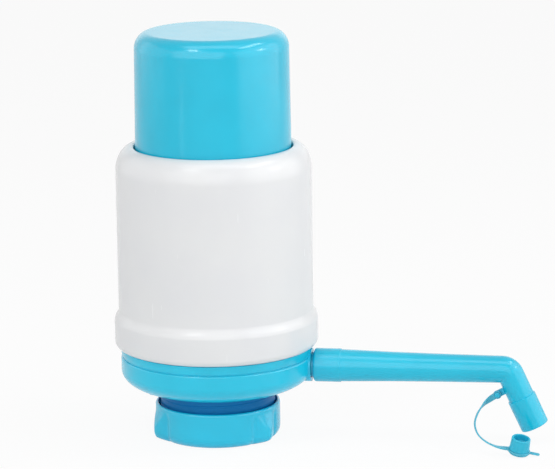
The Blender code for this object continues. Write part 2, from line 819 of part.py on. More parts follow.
def make_deck_screws(parent):
    """Four screws through the retainer and the deck into the bowl's posts."""
    head_bottom = retainer_top + seat_gap
    head_top = head_bottom + screw_head_height
    outline = [
        (0, head_top),
        (screw_head_radius - screw_head_height / 4, head_top),
        (screw_head_radius, head_bottom + screw_head_height / 2),
        (screw_head_radius, head_bottom),
        (screw_radius, head_bottom),
        (screw_radius, head_bottom - screw_length + screw_radius),
        (0, head_bottom - screw_length),
    ]
    look = material("deck_screw", STEEL, 0.35, 1)

    def slot(form):
        half = screw_slot_width / 2
        reach = screw_head_radius + overrun
        add_box(form, (-reach, -half, head_top - screw_slot_depth), (reach, half, head_top + overrun))

    for number, place in enumerate(around(post_count, post_circle, math.pi / post_count), 1):
        spot = {"location": place.translation, "rotation": place.to_euler()}
        screw = turned(f"deck_screw_{number}", outline, look, parent, TINY_SEGMENTS, **spot)
        combine(screw, built(f"screw_slot_{number}", slot, None, parent, **spot))


def make_body_shell(parent):
    shoulder_radius = shell_opening_radius + shell_lip_width
    shoulder_low = shell_top - shell_shoulder_height
    shoulder_width = shell_radius - shoulder_radius
    collar_radius = shell_opening_radius + shell_collar_wall
    inner_width = shoulder_width - shell_wall
    inner_height = shell_shoulder_height - shell_wall
    foot_radius = shell_flare_radius - shell_foot_round
    flare_bottom = shell_bottom + shell_foot_height
    flare_top = flare_bottom + shell_flare_height
    flare_inner = shell_flare_radius - shell_wall
    outline = [(shell_opening_radius, shell_top - shell_lip_width)]
    outline += arc(shoulder_radius, shell_top - shell_lip_width, shell_lip_width, shell_lip_width, 180, 90, 2)
    outline += list(arc(shoulder_radius, shoulder_low, shoulder_width, shell_shoulder_height, 90, 0, 6))[1:]
    outline += [
        (shell_radius, flare_top + shell_flare_rise),
        (shell_flare_radius, flare_top),
    ]
    outline += arc(foot_radius, flare_bottom, shell_foot_round, shell_foot_height, 0, -90, 3)
    outline += [
        (shell_inner_radius, shell_bottom),
        (shell_inner_radius, flare_bottom),
        (flare_inner, flare_bottom + shell_wall),
        (flare_inner, flare_top - shell_wall / 2),
        (shell_inner_radius, flare_top + shell_flare_rise),
    ]
    outline += list(arc(shoulder_radius, shoulder_low, inner_width, inner_height, 0, 75, 3))
    outline += [
        (collar_radius, outline[-1][1]),
        (collar_radius, shell_collar_bottom),
        (shell_opening_radius, shell_collar_bottom),
    ]
    return turned("body_shell", outline[1:], material("body_shell", WHITE, 0.18), parent)


def make_press_cap(parent):
    """A deep cup that opens downwards, with a stop flange inside the shell."""
    round_radius = cap_radius - cap_round
    round_height = cap_top - cap_round
    inner_round = cap_round - cap_wall
    rib_outer_radius = cap_rib_radius + cap_rib_wall
    flange_radius = cap_skirt_radius + cap_flange_reach
    outline = [(0, cap_top)]
    outline += arc(round_radius, round_height, cap_round, cap_round, 90, 0, 6)
    outline += [
        (cap_skirt_radius, shell_top),
        (cap_skirt_radius, cap_flange_top),
        (flange_radius, cap_flange_top),
        (flange_radius, cap_bottom),
        (cap_skirt_inner_radius, cap_bottom),
        (cap_skirt_inner_radius, shell_top),
    ]
    outline += arc(round_radius, cap_inner_top - inner_round, inner_round, inner_round, 0, 90, 3)
    outline += [
        (rib_outer_radius, cap_inner_top),
        (rib_outer_radius, cap_rib_bottom),
        (cap_rib_radius, cap_rib_bottom),
        (cap_rib_radius, cap_inner_top),
        (0, cap_inner_top),
    ]
    cap = turned("press_cap", outline, material("press_cap", CYAN, 0.2), parent)

    def notches(form):
        for place in around(cap_rib_notch_count, cap_rib_radius + cap_rib_wall / 2):
            half = cap_rib_notch / 2
            low = cap_rib_bottom - overrun
            add_box(form, (-overrun, -half, low), (overrun, half, cap_rib_bottom + cap_rib_notch_depth), place)

    combine(cap, built("cap_notches", notches, None, parent))
    return cap


def tube_rings(stations, segments):
    """Rings about a path in the XZ plane; each station is a point, a direction and a radius."""
    rings = []
    for point, direction, radius in stations:
        across = Vector((direction.z, 0, -direction.x))
        ring = []
        for step in range(segments):
            angle = math.tau * step / segments
            ring.append(point + radius * (across * math.cos(angle) + Vector((0, 1, 0)) * math.sin(angle)))
        rings.append(ring)
    return rings


def add_pipe(form, points, radius):
    """A closed round rod along points, taken from a bevelled curve."""
    curve = bpy.data.curves.new("pipe", "CURVE")
    curve.dimensions = "3D"
    curve.bevel_depth = radius
    curve.bevel_resolution = PIPE_RESOLUTION
    curve.use_fill_caps = True
    spline = curve.splines.new("POLY")
    spline.points.add(len(points) - 1)
    for knot, point in zip(spline.points, points):
        knot.co = (*point, 1)
    holder = bpy.data.objects.new("pipe", curve)
    parts.objects.link(holder)
    solid = holder.evaluated_get(bpy.context.evaluated_depsgraph_get())
    mesh = bpy.data.meshes.new_from_object(solid)
    form.from_mesh(mesh)
    bmesh.ops.remove_doubles(form, verts=form.verts, dist=merge_distance)
    bpy.data.objects.remove(holder, do_unlink=True)


def make_water_elbow(parent):
    """A hub on the bowl's floor, a bend, and an arm that plugs into the port."""
    bottom = floor_top + seat_gap
    arm_end = port_stop - seat_gap
    hub_top = bottom + elbow_hub_height
    hub_radius = elbow_socket_radius + elbow_hub_wall
    port_place = along_x(port_height)

    def route(low, high):
        points = [(0, 0, low)]
        turn_height = port_height - elbow_bend_radius
        bend = arc(elbow_bend_radius, turn_height, elbow_bend_radius, elbow_bend_radius, 180, 90)
        for along, height in bend:
            points.append((along, 0, height))
        points.append((high, 0, port_height))
        return points

    def duct(form):
        add_pipe(form, route(bottom + elbow_flange_thickness / 2, arm_end), elbow_radius)

    def flange(form):
        radius = hub_radius + elbow_flange_reach
        add_cylinder(form, radius, bottom, bottom + elbow_flange_thickness, MEDIUM_SEGMENTS)

    def hub(form):
        add_cylinder(form, hub_radius, bottom + elbow_flange_thickness / 2, hub_top, MEDIUM_SEGMENTS)

    def collar(form):
        high = port_inner_face - 2 * elbow_seal_radius - 2 * seat_gap
        radius = elbow_radius + elbow_collar_reach
        add_cylinder(form, radius, high - elbow_collar_width, high, MEDIUM_SEGMENTS, port_place)

    def bore(form):
        add_pipe(form, route(bottom - overrun, arm_end + overrun), elbow_bore_radius)

    def socket(form):
        add_cylinder(form, elbow_socket_radius, bottom - overrun, bottom + elbow_socket_depth, MEDIUM_SEGMENTS)

    elbow = built("water_elbow", duct, material("water_elbow", WHITE, 0.4), parent)
    combine(elbow, built("elbow_flange", flange, None, parent), "UNION")
    combine(elbow, built("elbow_hub", hub, None, parent), "UNION")
    combine(elbow, built("elbow_collar", collar, None, parent), "UNION")
    combine(elbow, built("elbow_bore", bore, None, parent))
    combine(elbow, built("elbow_socket", socket, None, parent))
    return elbow


def make_ring_seal(name, middle_radius, section_radius, location, parent):
    """A round-section seal about the port's axis."""
    section = list(arc(middle_radius, 0, section_radius, section_radius, 90, -270, TINY_SEGMENTS // 2))
    look = material(name, BLACK_RUBBER, 0.6)
    turn = (0, math.pi / 2, 0)
    return turned(name, section[:-1], look, parent, SMALL_SEGMENTS, location=location, rotation=turn)


def make_elbow_seal(parent):
    middle = elbow_radius + seat_gap + elbow_seal_radius
    along = port_inner_face - seat_gap - elbow_seal_radius
    return make_ring_seal("elbow_seal", middle, elbow_seal_radius, (along, 0, port_height), parent)


def make_tube_connector(parent):
    """A flange under the bowl's ceiling, a shank up into the elbow and a barbed nipple down."""
    flange_high = ceiling_height - seat_gap
    flange_low = flange_high - connector_flange_thickness
    flange_radius = connector_shank_radius + connector_flange_reach
    shank_top = floor_top + elbow_socket_depth - seat_gap
    end = flange_high - connector_length
    outline = [
        (elbow_bore_radius, shank_top),
        (connector_shank_radius, shank_top),
        (connector_shank_radius, flange_high),
        (flange_radius, flange_high),
        (flange_radius, flange_low),
        (connector_radius, flange_low),
    ]
    for barb in reversed(range(connector_barb_count)):
        high = end + connector_barb_pitch * (barb + 1)
        outline += [
            (connector_radius, high),
            (connector_radius + connector_barb_reach, high),
            (connector_radius, high - connector_barb_pitch * 2 / 3),
        ]
    outline += [(connector_radius, end), (elbow_bore_radius, end)]
    return turned("tube_connector", outline, material("tube_connector", WHITE, 0.4), parent, SMALL_SEGMENTS)


def make_neck_gasket(parent):
    outer = neck_bore_radius - seat_gap
    high = ceiling_height - seat_gap
    low = high - gasket_thickness
    outline = [(outer - gasket_width, high), (outer, high), (outer, low), (outer - gasket_width, low)]
    return turned("neck_gasket", outline, material("neck_gasket", CLEAR_RUBBER, 0.5), parent)


def spout_stations():
    """The spout's outside from its inner end to its mouth, then its bore back again."""
    right = Vector((1, 0, 0))
    tangent = spout_bend_radius * math.tan(spout_nozzle_angle / 2)
    bend_start = spout_corner - tangent

    def straight(x, radius):
        return Vector((x, 0, port_height)), right, radius

    def leg(distance, radius):
        return spout_corner_point + nozzle_direction * distance, nozzle_direction, radius

    def bend(start_radius, stop_radius):
        stations = []
        for step in range(spout_bend_steps + 1):
            share = step / spout_bend_steps
            angle = spout_nozzle_angle * share
            x = bend_start + spout_bend_radius * math.sin(angle)
            z = port_height - spout_bend_radius * (1 - math.cos(angle))
            radius = start_radius + (stop_radius - start_radius) * share
            stations.append((Vector((x, 0, z)), Vector((math.cos(angle), 0, -math.sin(angle))), radius))
        return stations

    spigot_start = port_stop + seat_gap
    outer = [straight(spigot_start, spout_spigot_radius - spout_sleeve_round / 2)]
    outer.append(straight(spigot_start + spout_sleeve_round / 2, spout_spigot_radius))
    groove_floor = oring_middle_radius - oring_radius - oring_squeeze_gap
    groove_half = oring_radius + seat_gap
    for number in range(oring_count):
        middle = oring_first + oring_spacing * number
        low = middle - groove_half
        high = middle + groove_half
        outer += [straight(low, spout_spigot_radius), straight(low, groove_floor)]
        outer += [straight(high, groove_floor), straight(high, spout_spigot_radius)]
    outer.append(straight(spout_sleeve_start, spout_spigot_radius))
    round_middle = spout_sleeve_start + spout_sleeve_round
    sleeve_end = arc(port_radius - spout_sleeve_round, 0, spout_sleeve_round, spout_sleeve_round, 90, 0, 3)
    for radius, depth in sleeve_end:
        outer.append(straight(round_middle - depth, radius))
    outer.append(straight(spout_sleeve_end - spout_sleeve_step, port_radius))
    outer.append(straight(spout_sleeve_end, spout_root_radius))
    outer += bend(spout_bend_start_radius, (spout_bend_start_radius + spout_leg_radius) / 2)
    outer.append(leg(nozzle_sleeve_start, spout_leg_radius))
    outer.append(leg(nozzle_sleeve_start + nozzle_edge, nozzle_sleeve_radius))
    outer.append(leg(spout_leg_length - nozzle_edge, nozzle_mouth_radius))
    outer.append(leg(spout_leg_length, nozzle_mouth_radius - nozzle_edge))
    inner = [leg(spout_leg_length, nozzle_mouth_radius - nozzle_mouth_wall)]
    inner.append(leg(nozzle_sleeve_start, spout_leg_radius - spout_wall))
    inner += reversed(bend(spout_bend_start_radius - spout_wall, spout_leg_radius - spout_wall))
    inner.append(straight(spout_sleeve_end, spout_root_radius - spout_wall))
    inner.append(straight(spout_sleeve_start + spout_wall, spout_spigot_bore_radius))
    inner.append(straight(spigot_start, spout_spigot_bore_radius))
    return outer + inner


def make_spout(parent):
    """The spout with the lug and pin that hold the plug's strap."""
    lowered = Matrix.Translation((0, 0, -port_height))
    pin_place = lowered @ Matrix.Translation(pin_middle) @ Matrix.Rotation(math.pi / 2, 4, "X")
    lug_round = lug_width / 2 - lug_width / LARGE_SEGMENTS

    def tube(form):
        add_rings(form, tube_rings(spout_stations(), spout_segments), True)
        bmesh.ops.transform(form, matrix=lowered, verts=form.verts)

    def lug(form):
        end = -spout_leg_radius - lug_length
        low = (-lug_width / 2, -lug_thickness / 2, end)
        high = (lug_width / 2, lug_thickness / 2, -spout_leg_radius + lug_root)
        add_box(form, low, high)
        rounded = [e for e in form.edges if all(abs(v.co.z - end) < merge_distance for v in e.verts)]
        rounded = [e for e in rounded if abs(e.verts[0].co.x - e.verts[1].co.x) < merge_distance]
        bmesh.ops.bevel(form, geom=rounded, offset=lug_round, segments=ARC_STEPS, profile=0.5, affect="EDGES")
        place = lowered @ Matrix.Translation(lug_middle) @ Matrix.Rotation(spout_nozzle_angle, 4, "Y")
        bmesh.ops.transform(form, matrix=place, verts=form.verts)

    def pin(form):
        end = eye_far_side + seat_gap + pin_head_length / 2
        add_cylinder(form, pin_radius, 0, end, TINY_SEGMENTS, pin_place)

    def pin_head(form):
        low = eye_far_side + seat_gap
        add_cylinder(form, pin_head_radius, low, low + pin_head_length, TINY_SEGMENTS, pin_place)

    spout = built("spout", tube, material("spout", CYAN, 0.22), parent)
    combine(spout, built("strap_lug", lug, None, parent), "UNION")
    combine(spout, built("strap_pin", pin, None, parent), "UNION")
    combine(spout, built("strap_pin_head", pin_head, None, parent), "UNION")
    return spout


def make_spout_orings(parent):
    """The seals in the spigot's grooves, which turn with the spout."""
    for number in range(oring_count):
        along = oring_first + oring_spacing * number
        make_ring_seal(f"spout_oring_{number + 1}", oring_middle_radius, oring_radius, (along, 0, 0), parent)


def plug_frame():
    """The plug's own axes at the middle of its base."""
    base = Matrix.Translation(plug_base)
    return base @ Matrix.Rotation(plug_lean_y, 4, "X") @ Matrix.Rotation(plug_lean_x, 4, "Y")


def make_dust_plug(parent):
    outline = [
        (0, plug_cup_bottom + plug_wall),
        (plug_root_radius - plug_wall, plug_cup_bottom + plug_wall),
        (plug_rim_radius - plug_wall, plug_height),
        (plug_rim_radius - plug_edge, plug_height),
        (plug_rim_radius, plug_height - plug_edge),
        (plug_root_radius, plug_cup_bottom),
        (plug_groove_radius, plug_cup_bottom),
        (plug_groove_radius, plug_button_height),
        (plug_button_radius, plug_button_height),
        (plug_button_radius, 0),
        (0, 0),
    ]
    place = Matrix.Translation(-eye_middle) @ plug_frame()
    spot = {"location": place.translation, "rotation": place.to_euler()}
    return turned("dust_plug", outline, material("dust_plug", CYAN, 0.25), parent, SMALL_SEGMENTS, **spot)


def strap_route():
    """Points along the band's middle in the pump's frame, from the pin to the plug's ring."""
    ring_end = plug_frame() @ Vector((strap_ring_wall / 2 - strap_ring_radius, 0, strap_ring_middle))
    way = ring_end - eye_middle
    bends = [eye_middle + Vector([a * b for a, b in zip(way, shares)]) for shares in strap_route_shares]
    return [eye_middle, *bends, ring_end]


def smooth_point(points, share):
    """A point on the smooth curve through the points, and the curve's direction there."""
    spans = len(points) - 1
    at = min(share * spans, spans - 1e-6)
    i = int(at)
    t = at - i
    before = points[i - 1] if i > 0 else 2 * points[0] - points[1]
    after = points[i + 2] if i + 2 <= spans else 2 * points[-1] - points[-2]
    a, b = points[i], points[i + 1]
    slope_a = (b - before) / 2
    slope_b = (after - a) / 2
    point = (
        a * (2 * t**3 - 3 * t**2 + 1)
        + slope_a * (t**3 - 2 * t**2 + t)
        + b * (3 * t**2 - 2 * t**3)
        + slope_b * (t**3 - t**2)
    )
    direction = (
        a * (6 * t**2 - 6 * t)
        + slope_a * (3 * t**2 - 4 * t + 1)
        + b * (6 * t - 6 * t**2)
        + slope_b * (3 * t**2 - 2 * t)
    )
    return point, direction.normalized()


def eased(share):
    """0 to 1 with a soft start and a soft stop."""
    share = min(max(share, 0), 1)
    return share * share * (3 - 2 * share)


def band_side(direction, share):
    """The band's wide direction: in the lug's plane at the pin, level lower down, the ring's own at the plug."""
    across = Vector((0, 1, 0))
    flat = direction.cross(across).normalized()
    level = flat.cross(direction)
    twist = math.pi / 2 * eased(share / strap_twist_share)
    side = flat * math.cos(twist) + level * math.sin(twist)
    settled = eased((share - strap_level_share) / (1 - strap_level_share))
    side = side.lerp(plug_frame().to_3x3() @ across, settled)
    return (side - direction * side.dot(direction)).normalized()


def make_plug_strap(parent):
    points = strap_route()
    half_wide = strap_width / 2
    half_thick = strap_thickness / 2
    eye_frame = Matrix.Rotation(math.pi / 2, 4, "X")
    place = Matrix.Translation(-eye_middle)

    def band(form):
        rings = []
        for step in range(strap_steps + 1):
            share = step / strap_steps
            point, direction = smooth_point(points, share)
            side = band_side(direction, share)
            face = direction.cross(side)
            corners = ((1, 1), (-1, 1), (-1, -1), (1, -1))
            rings.append([place @ (point + side * half_wide * a + face * half_thick * b) for a, b in corners])
        add_rings(form, rings, False)

    def eye(form):
        half = strap_ring_thickness / 2
        add_cylinder(form, strap_eye_radius, -half, half, SMALL_SEGMENTS, eye_frame)

    def ring(form):
        low = strap_ring_bottom
        add_cylinder(form, strap_ring_radius, low, low + strap_ring_thickness, MEDIUM_SEGMENTS, place @ plug_frame())

    def tab(form):
        low = (strap_ring_radius - strap_ring_wall / 2, -strap_tab_width / 2, strap_ring_bottom)
        reach = strap_ring_radius + strap_tab_length
        high = (reach, strap_tab_width / 2, strap_ring_bottom + strap_thickness)
        add_box(form, low, high, place @ plug_frame())

    def holes(form):
        reach = strap_ring_thickness + overrun
        add_cylinder(form, pin_radius + seat_gap, -reach, reach, TINY_SEGMENTS, eye_frame)
        radius = plug_groove_radius + seat_gap
        add_cylinder(form, radius, -reach, reach + strap_ring_bottom, MEDIUM_SEGMENTS, place @ plug_frame())

    strap = built("plug_strap", band, material("plug_strap", CYAN_DEEP, 0.35), parent)
    combine(strap, built("strap_eye", eye, None, parent), "UNION")
    combine(strap, built("strap_ring", ring, None, parent), "UNION")
    combine(strap, built("strap_tab", tab, None, parent), "UNION")
    combine(strap, built("strap_holes", holes, None, parent))
    return strap


pump_axis = empty("pump_axis", (axis_x, 0, 0))
spout_axis = empty("spout_axis", (0, 0, port_height), pump_axis)
strap_axis = empty("strap_axis", eye_middle - Vector((0, 0, port_height)), spout_axis)

make_clamp_ring(pump_axis)
make_collet(pump_axis)
make_base_bowl(pump_axis)
make_pump_deck(pump_axis)
make_valve("delivery_valve", umbrella_outline(deck_bottom, deck_top, delivery_disc_radius), pump_axis)
make_bellows(pump_axis)
make_bellows_seal(pump_axis)
make_retainer(pump_axis)
make_deck_screws(pump_axis)
make_valve("intake_valve", umbrella_outline(bellows_plate_bottom, bellows_top_height, intake_disc_radius), pump_axis)
make_body_shell(pump_axis)
make_press_cap(pump_axis)
make_water_elbow(pump_axis)
make_elbow_seal(pump_axis)
make_tube_connector(pump_axis)
make_neck_gasket(pump_axis)
make_spout(spout_axis)
make_spout_orings(spout_axis)
make_dust_plug(strap_axis)
make_plug_strap(strap_axis)
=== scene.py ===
import math

import bmesh
import bpy
from mathutils import Matrix, Vector


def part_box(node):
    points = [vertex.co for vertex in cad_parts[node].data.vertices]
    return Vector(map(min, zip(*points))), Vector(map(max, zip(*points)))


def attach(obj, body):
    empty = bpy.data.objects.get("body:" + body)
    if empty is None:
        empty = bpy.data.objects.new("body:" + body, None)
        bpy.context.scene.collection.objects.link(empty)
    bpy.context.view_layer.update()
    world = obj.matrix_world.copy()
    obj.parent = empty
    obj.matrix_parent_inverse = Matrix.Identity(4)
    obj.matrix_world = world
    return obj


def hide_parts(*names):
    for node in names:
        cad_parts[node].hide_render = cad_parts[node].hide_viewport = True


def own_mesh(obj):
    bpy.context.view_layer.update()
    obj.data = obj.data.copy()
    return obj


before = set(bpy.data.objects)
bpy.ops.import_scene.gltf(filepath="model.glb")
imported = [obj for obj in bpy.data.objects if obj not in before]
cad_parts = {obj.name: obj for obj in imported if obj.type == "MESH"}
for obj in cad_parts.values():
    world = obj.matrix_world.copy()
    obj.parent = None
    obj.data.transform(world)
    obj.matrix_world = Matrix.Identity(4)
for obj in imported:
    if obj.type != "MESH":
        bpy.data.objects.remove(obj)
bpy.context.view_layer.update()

MM = 0.001

# The pump's own axis in the CAD's frame. Every size below is in millimetres about that axis,
# with heights measured from the foot of the clamp ring, as in the CAD.
cap_low, cap_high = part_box("press_cap")
AXIS = Matrix.Translation(((cap_low.x + cap_high.x) / 2, 0, 0)) @ Matrix.Scale(MM, 4)

# How finely round pieces are turned.
LARGE, MEDIUM, SMALL = 144, 72, 40

# Axes by number.
Y, Z = 1, 2

# Four screws hold the deck on posts in the bowl, an eighth of a turn from the spout.
POSTS = (4, 40.6, math.pi / 4)
SCREW_HOLE = 1.9

# The spout's axis and corner as in the CAD, and the lug and pin that the strap hangs on.
PORT_HEIGHT = 40.2
NOZZLE_ANGLE = math.radians(61.7)
LUG_DISTANCE = 10.3
LUG_THICKNESS = 1.6
PIN_REACH = 10.0
EYE_ASIDE = 1.6
SPOUT_CORNER = Vector((157.2, 0, PORT_HEIGHT))
NOZZLE_WAY = Vector((math.cos(NOZZLE_ANGLE), 0, -math.sin(NOZZLE_ANGLE)))
LUG_WAY = Vector((-math.sin(NOZZLE_ANGLE), 0, -math.cos(NOZZLE_ANGLE)))
LUG_MIDDLE = SPOUT_CORNER + NOZZLE_WAY * LUG_DISTANCE
PIN_MIDDLE = LUG_MIDDLE + LUG_WAY * PIN_REACH
EYE_MIDDLE = PIN_MIDDLE + Vector((0, -EYE_ASIDE, 0))
UP_TO_X = Matrix.Rotation(math.pi / 2, 4, "Y")
Z_TO_SIDE = Matrix.Rotation(math.pi / 2, 4, "X")

# The plug stands on the table beside the nozzle, a little tilted by its strap.
PLUG_BASE = Vector((166.978, -28.0, 1.8))
PLUG_TILTS = math.radians(10.0), math.radians(10.5)
PLUG_PLACE = (
    Matrix.Translation(PLUG_BASE)
    @ Matrix.Rotation(PLUG_TILTS[0], 4, "X")
    @ Matrix.Rotation(PLUG_TILTS[1], 4, "Y")
)

# The strap's band: its wide side turns level over the first share and follows the plug over the last.
BAND_WIDTH, BAND_THICKNESS = 3.4, 0.84
BAND_STEPS = 72
TWIST_SHARE, LEVEL_SHARE = 0.36, 0.8

# The clamp ring's wall, and its lobes with a shallow valley on each side.
RING_RADIUS = 34.0
LOBES = 3
LOBE_HEIGHT = 3.0
LOBE_HALF, VALLEY_HALF = math.radians(14.5), math.radians(20)
LOBE_TOP, LOBE_CONE = 16.6, 8.8
FLANK_CURVE = 1.3
VALLEY_DEPTH = 0.9
VALLEY_TOP, VALLEY_FADE = 18.0, 4.5

# The camera stands before the pump, a little to its right. It was fitted to the photo's ellipses.
CAMERA_AZIMUTH = math.radians(-81.0)
CAMERA_RISE = math.radians(12.308)
CAMERA_ROLL = math.radians(-0.816)
CAMERA_DISTANCE = 1854.5
CAMERA_LENS = 222.35
AIM_RIGHT, AIM_UP = 33.88, 110.90

# Shares of full white: how much the floor glows to the eye, and what the surroundings shed on the pump.
FLOOR_GLOW = 0.93
AMBIENT = 0.1


# Materials.


def linear(code):
    """An sRGB hex colour as linear RGBA."""
    shades = [int(code[i : i + 2], 16) / 255 for i in (0, 2, 4)]
    return (*[s / 12.92 if s <= 0.04045 else ((s + 0.055) / 1.055) ** 2.4 for s in shades], 1)


def add(tree, kind, inputs=(), **settings):
    """A shader node with its settings, and values or links for its inputs."""
    node = tree.nodes.new("ShaderNode" + kind)
    for name, value in settings.items():
        setattr(node, name, value)
    for name, value in dict(inputs).items():
        if isinstance(value, bpy.types.NodeSocket):
            tree.links.new(value, node.inputs[name])
        else:
            node.inputs[name].default_value = value
    return node


def per_mm(size):
    """The noise scale that gives features of this size in millimetres."""
    return 1 / (size * MM)


# Sizes in millimetres of what shows on a moulded face.
FLOW_MARK = 26
SHEEN_PATCH = 11
RUBBED_PATCH = 18
HAIRLINE = 1.1


def moulded(name, colour, deep, roughness, grain=0.9, depth=0.006, rubs="Z", scuffs=0.3, **shader):
    """A moulded plastic, or a plated metal, with its peel's grain and depth in millimetres.

    It has faint flow marks in the colour, orange peel from the mould and hairline rubs from handling.
    """
    look = bpy.data.materials.new(name)
    look.use_nodes = True
    tree = look.node_tree
    tree.nodes.clear()
    place = add(tree, "TexCoord").outputs["Object"]

    marks = {"Vector": place, "Scale": per_mm(FLOW_MARK), "Detail": 2.0, "Roughness": 0.45}
    flow = add(tree, "TexNoise", marks)
    tint = add(tree, "MapRange", {"Value": flow.outputs["Fac"], "From Min": 0.36, "From Max": 0.64})
    colours = add(tree, "Mix", data_type="RGBA", clamp_factor=True)
    tree.links.new(tint.outputs["Result"], colours.inputs["Factor"])
    colours.inputs["A"].default_value = linear(colour)
    colours.inputs["B"].default_value = linear(deep)

    stretch = {"X": (0.03, 1, 1), "Z": (1, 1, 0.03)}[rubs]
    drawn = add(tree, "Mapping", {"Vector": place, "Rotation": (0.02, 0.02, 0.3), "Scale": stretch})
    fine = {"Vector": drawn.outputs["Vector"], "Scale": per_mm(HAIRLINE), "Detail": 2.0}
    hairs = add(tree, "TexNoise", fine)
    patch = add(tree, "TexNoise", {"Vector": place, "Scale": per_mm(RUBBED_PATCH), "Detail": 1.0})
    handled = {"Value": patch.outputs["Fac"], "From Min": 0.5, "From Max": 0.62, "To Max": scuffs}
    worn = add(tree, "MapRange", handled)
    lines = add(tree, "MapRange", {"Value": hairs.outputs["Fac"], "From Min": 0.64, "From Max": 0.74})
    rub = add(tree, "Math", {0: lines.outputs["Result"], 1: worn.outputs["Result"]}, operation="MULTIPLY")

    sheen = add(tree, "TexNoise", {"Vector": place, "Scale": per_mm(SHEEN_PATCH), "Detail": 3.0})
    spread = {"From Min": 0.3, "From Max": 0.7, "To Min": roughness * 0.9, "To Max": roughness * 1.12}
    satin = add(tree, "MapRange", {"Value": sheen.outputs["Fac"], **spread})
    duller = {0: rub.outputs["Value"], 1: 0.2, 2: satin.outputs["Result"]}
    rough = add(tree, "Math", duller, operation="MULTIPLY_ADD")
    peel = add(tree, "TexNoise", {"Vector": place, "Scale": per_mm(grain), "Detail": 2.0})
    scored = {0: rub.outputs["Value"], 1: -0.6, 2: peel.outputs["Fac"]}
    height = add(tree, "Math", scored, operation="MULTIPLY_ADD")
    bump = add(tree, "Bump", {"Strength": 0.2, "Distance": depth * MM, "Height": height.outputs["Value"]})
    inputs = {
        "Base Color": colours.outputs["Result"],
        "Roughness": rough.outputs["Value"],
        "Normal": bump.outputs["Normal"],
        "IOR": 1.53,
    }
    inputs.update({key.replace("_", " "): value for key, value in shader.items()})
    surface = add(tree, "BsdfPrincipled", inputs)
    add(tree, "OutputMaterial", {"Surface": surface.outputs["BSDF"]})
    return look


# ABS, injection moulded against a polished mould: deep gloss that mirrors the softboxes.
cyan_abs = moulded("cyan_abs", "0ABEDD", "06B9D8", 0.2)
# A slightly lighter lot of the same ABS: the bowl and the clamp ring.
base_abs = moulded("cyan_abs_base", "1CC8E8", "17C2E2", 0.2)
# The same ABS on the spout, whose rubs run along the tube.
spout_abs = moulded("cyan_abs_spout", "0ABEDD", "06B9D8", 0.22, rubs="X")
# The same ABS on the neck's thread, painted deep blue and dull with a weak reflection: painted shade for
# the recess under the bowl.
neck_painted_shade = moulded("neck_painted_shade", "0A78B6", "0772AE", 0.4, Specular_IOR_Level=0.15)
# A darker lot of the ABS with a plain mould finish: the deck, hidden inside.
deep_cyan_abs = moulded("deep_cyan_abs", "2FA9D2", "29A0CB", 0.34, grain=1.2, depth=0.015)
# White ABS with a polished face: a clean, slightly cool white.
white_abs = moulded("white_abs", "E4E5E6", "E2E3E5", 0.24, grain=1.4, depth=0.003, scuffs=0.15)
# Polypropylene, natural white and waxy: the claws, the elbow, the connector and the retainer.
white_pp = moulded("white_pp", "E2E4E4", "DBDFDF", 0.42, grain=1.4, depth=0.02, IOR=1.49)
# Low density polyethylene, blown thin: milky and uneven where the parison stretched.
blown_ldpe = moulded("blown_ldpe", "DDE4E4", "CFD8D9", 0.46, grain=2.2, depth=0.05, IOR=1.51)
# Soft polyethylene, moulded: duller than the ABS, and greyer in the thin strap than in the plug.
strap_pe = moulded("strap_pe", "4CB7CF", "43ABC4", 0.42, grain=0.7, depth=0.02, rubs="X", IOR=1.51)
plug_pe = moulded("plug_pe", "27BDDA", "20B4D2", 0.34, grain=0.7, depth=0.02, IOR=1.51)
# Clear silicone, moulded: milky grey and dull.
silicone = moulded("clear_silicone", "CBD2D2", "C0C8C9", 0.36, grain=1.8, depth=0.03, IOR=1.41)
# Nitrile rubber: near black with a talc bloom.
rubber_face = {"grain": 0.5, "depth": 0.02, "scuffs": 0.8}
black_rubber = moulded("nitrile_rubber", "1D1E20", "292A2C", 0.55, **rubber_face, IOR=1.52)
# Zinc plated steel: the deck screws, with turned heads that catch the light.
plated_face = {"grain": 0.4, "depth": 0.01, "scuffs": 0.9}
plated_steel = moulded("plated_steel", "B9BBBD", "ABADB0", 0.3, **plated_face, Metallic=1.0, IOR=1.5)


# Modelling.


def eased(share):
    """0 to 1 with a soft start and a soft stop."""
    share = min(max(share, 0), 1)
    return share * share * (3 - 2 * share)


def wire(form, corners, closed=True):
    """A wire through corners of (radius, height), some with a rounding across and along the axis."""
    points = [form.verts.new((corner[0], 0, corner[1])) for corner in corners]
    for a, b in zip(points, points[1:] + points[:1] if closed else points[1:]):
        form.edges.new((a, b))
    for point, corner in zip(points, corners):
        if len(corner) < 3:
            continue
        across, along = corner[2], corner[-1]
        small = min(across, along)
        rounded = bmesh.ops.bevel(
            form,
            geom=[point],
            offset=small,
            offset_type="OFFSET",
            segments=max(3, min(16, round(max(across, along) * 1.6) + 2)),
            profile=0.5,
            affect="VERTICES",
            material=-1,
        )["verts"]
        stretch = Matrix.Diagonal((across / small, 1, along / small, 1))
        about = Matrix.Translation((-corner[0], 0, -corner[1]))
        bmesh.ops.transform(form, matrix=stretch, space=about, verts=rounded)


def turned(form, steps, turns=1, pitch=0.0):
    """Turns a wire about Z in so many steps a turn. With a pitch it climbs, as a thread does."""
    bmesh.ops.spin(
        form,
        geom=form.verts[:] + form.edges[:],
        cent=(0, 0, 0),
        axis=(0, 0, 1),
        dvec=(0, 0, pitch / steps),
        angle=math.tau * turns,
        steps=steps * turns,
        use_merge=not pitch,
        use_normal_flip=False,
        use_duplicate=False,
    )


def spun(form, corners, steps=LARGE, closed=True):
    """A full turn of the wire about Z."""
    wire(form, corners, closed)
    turned(form, steps)
    bmesh.ops.remove_doubles(form, verts=form.verts, dist=1e-4)


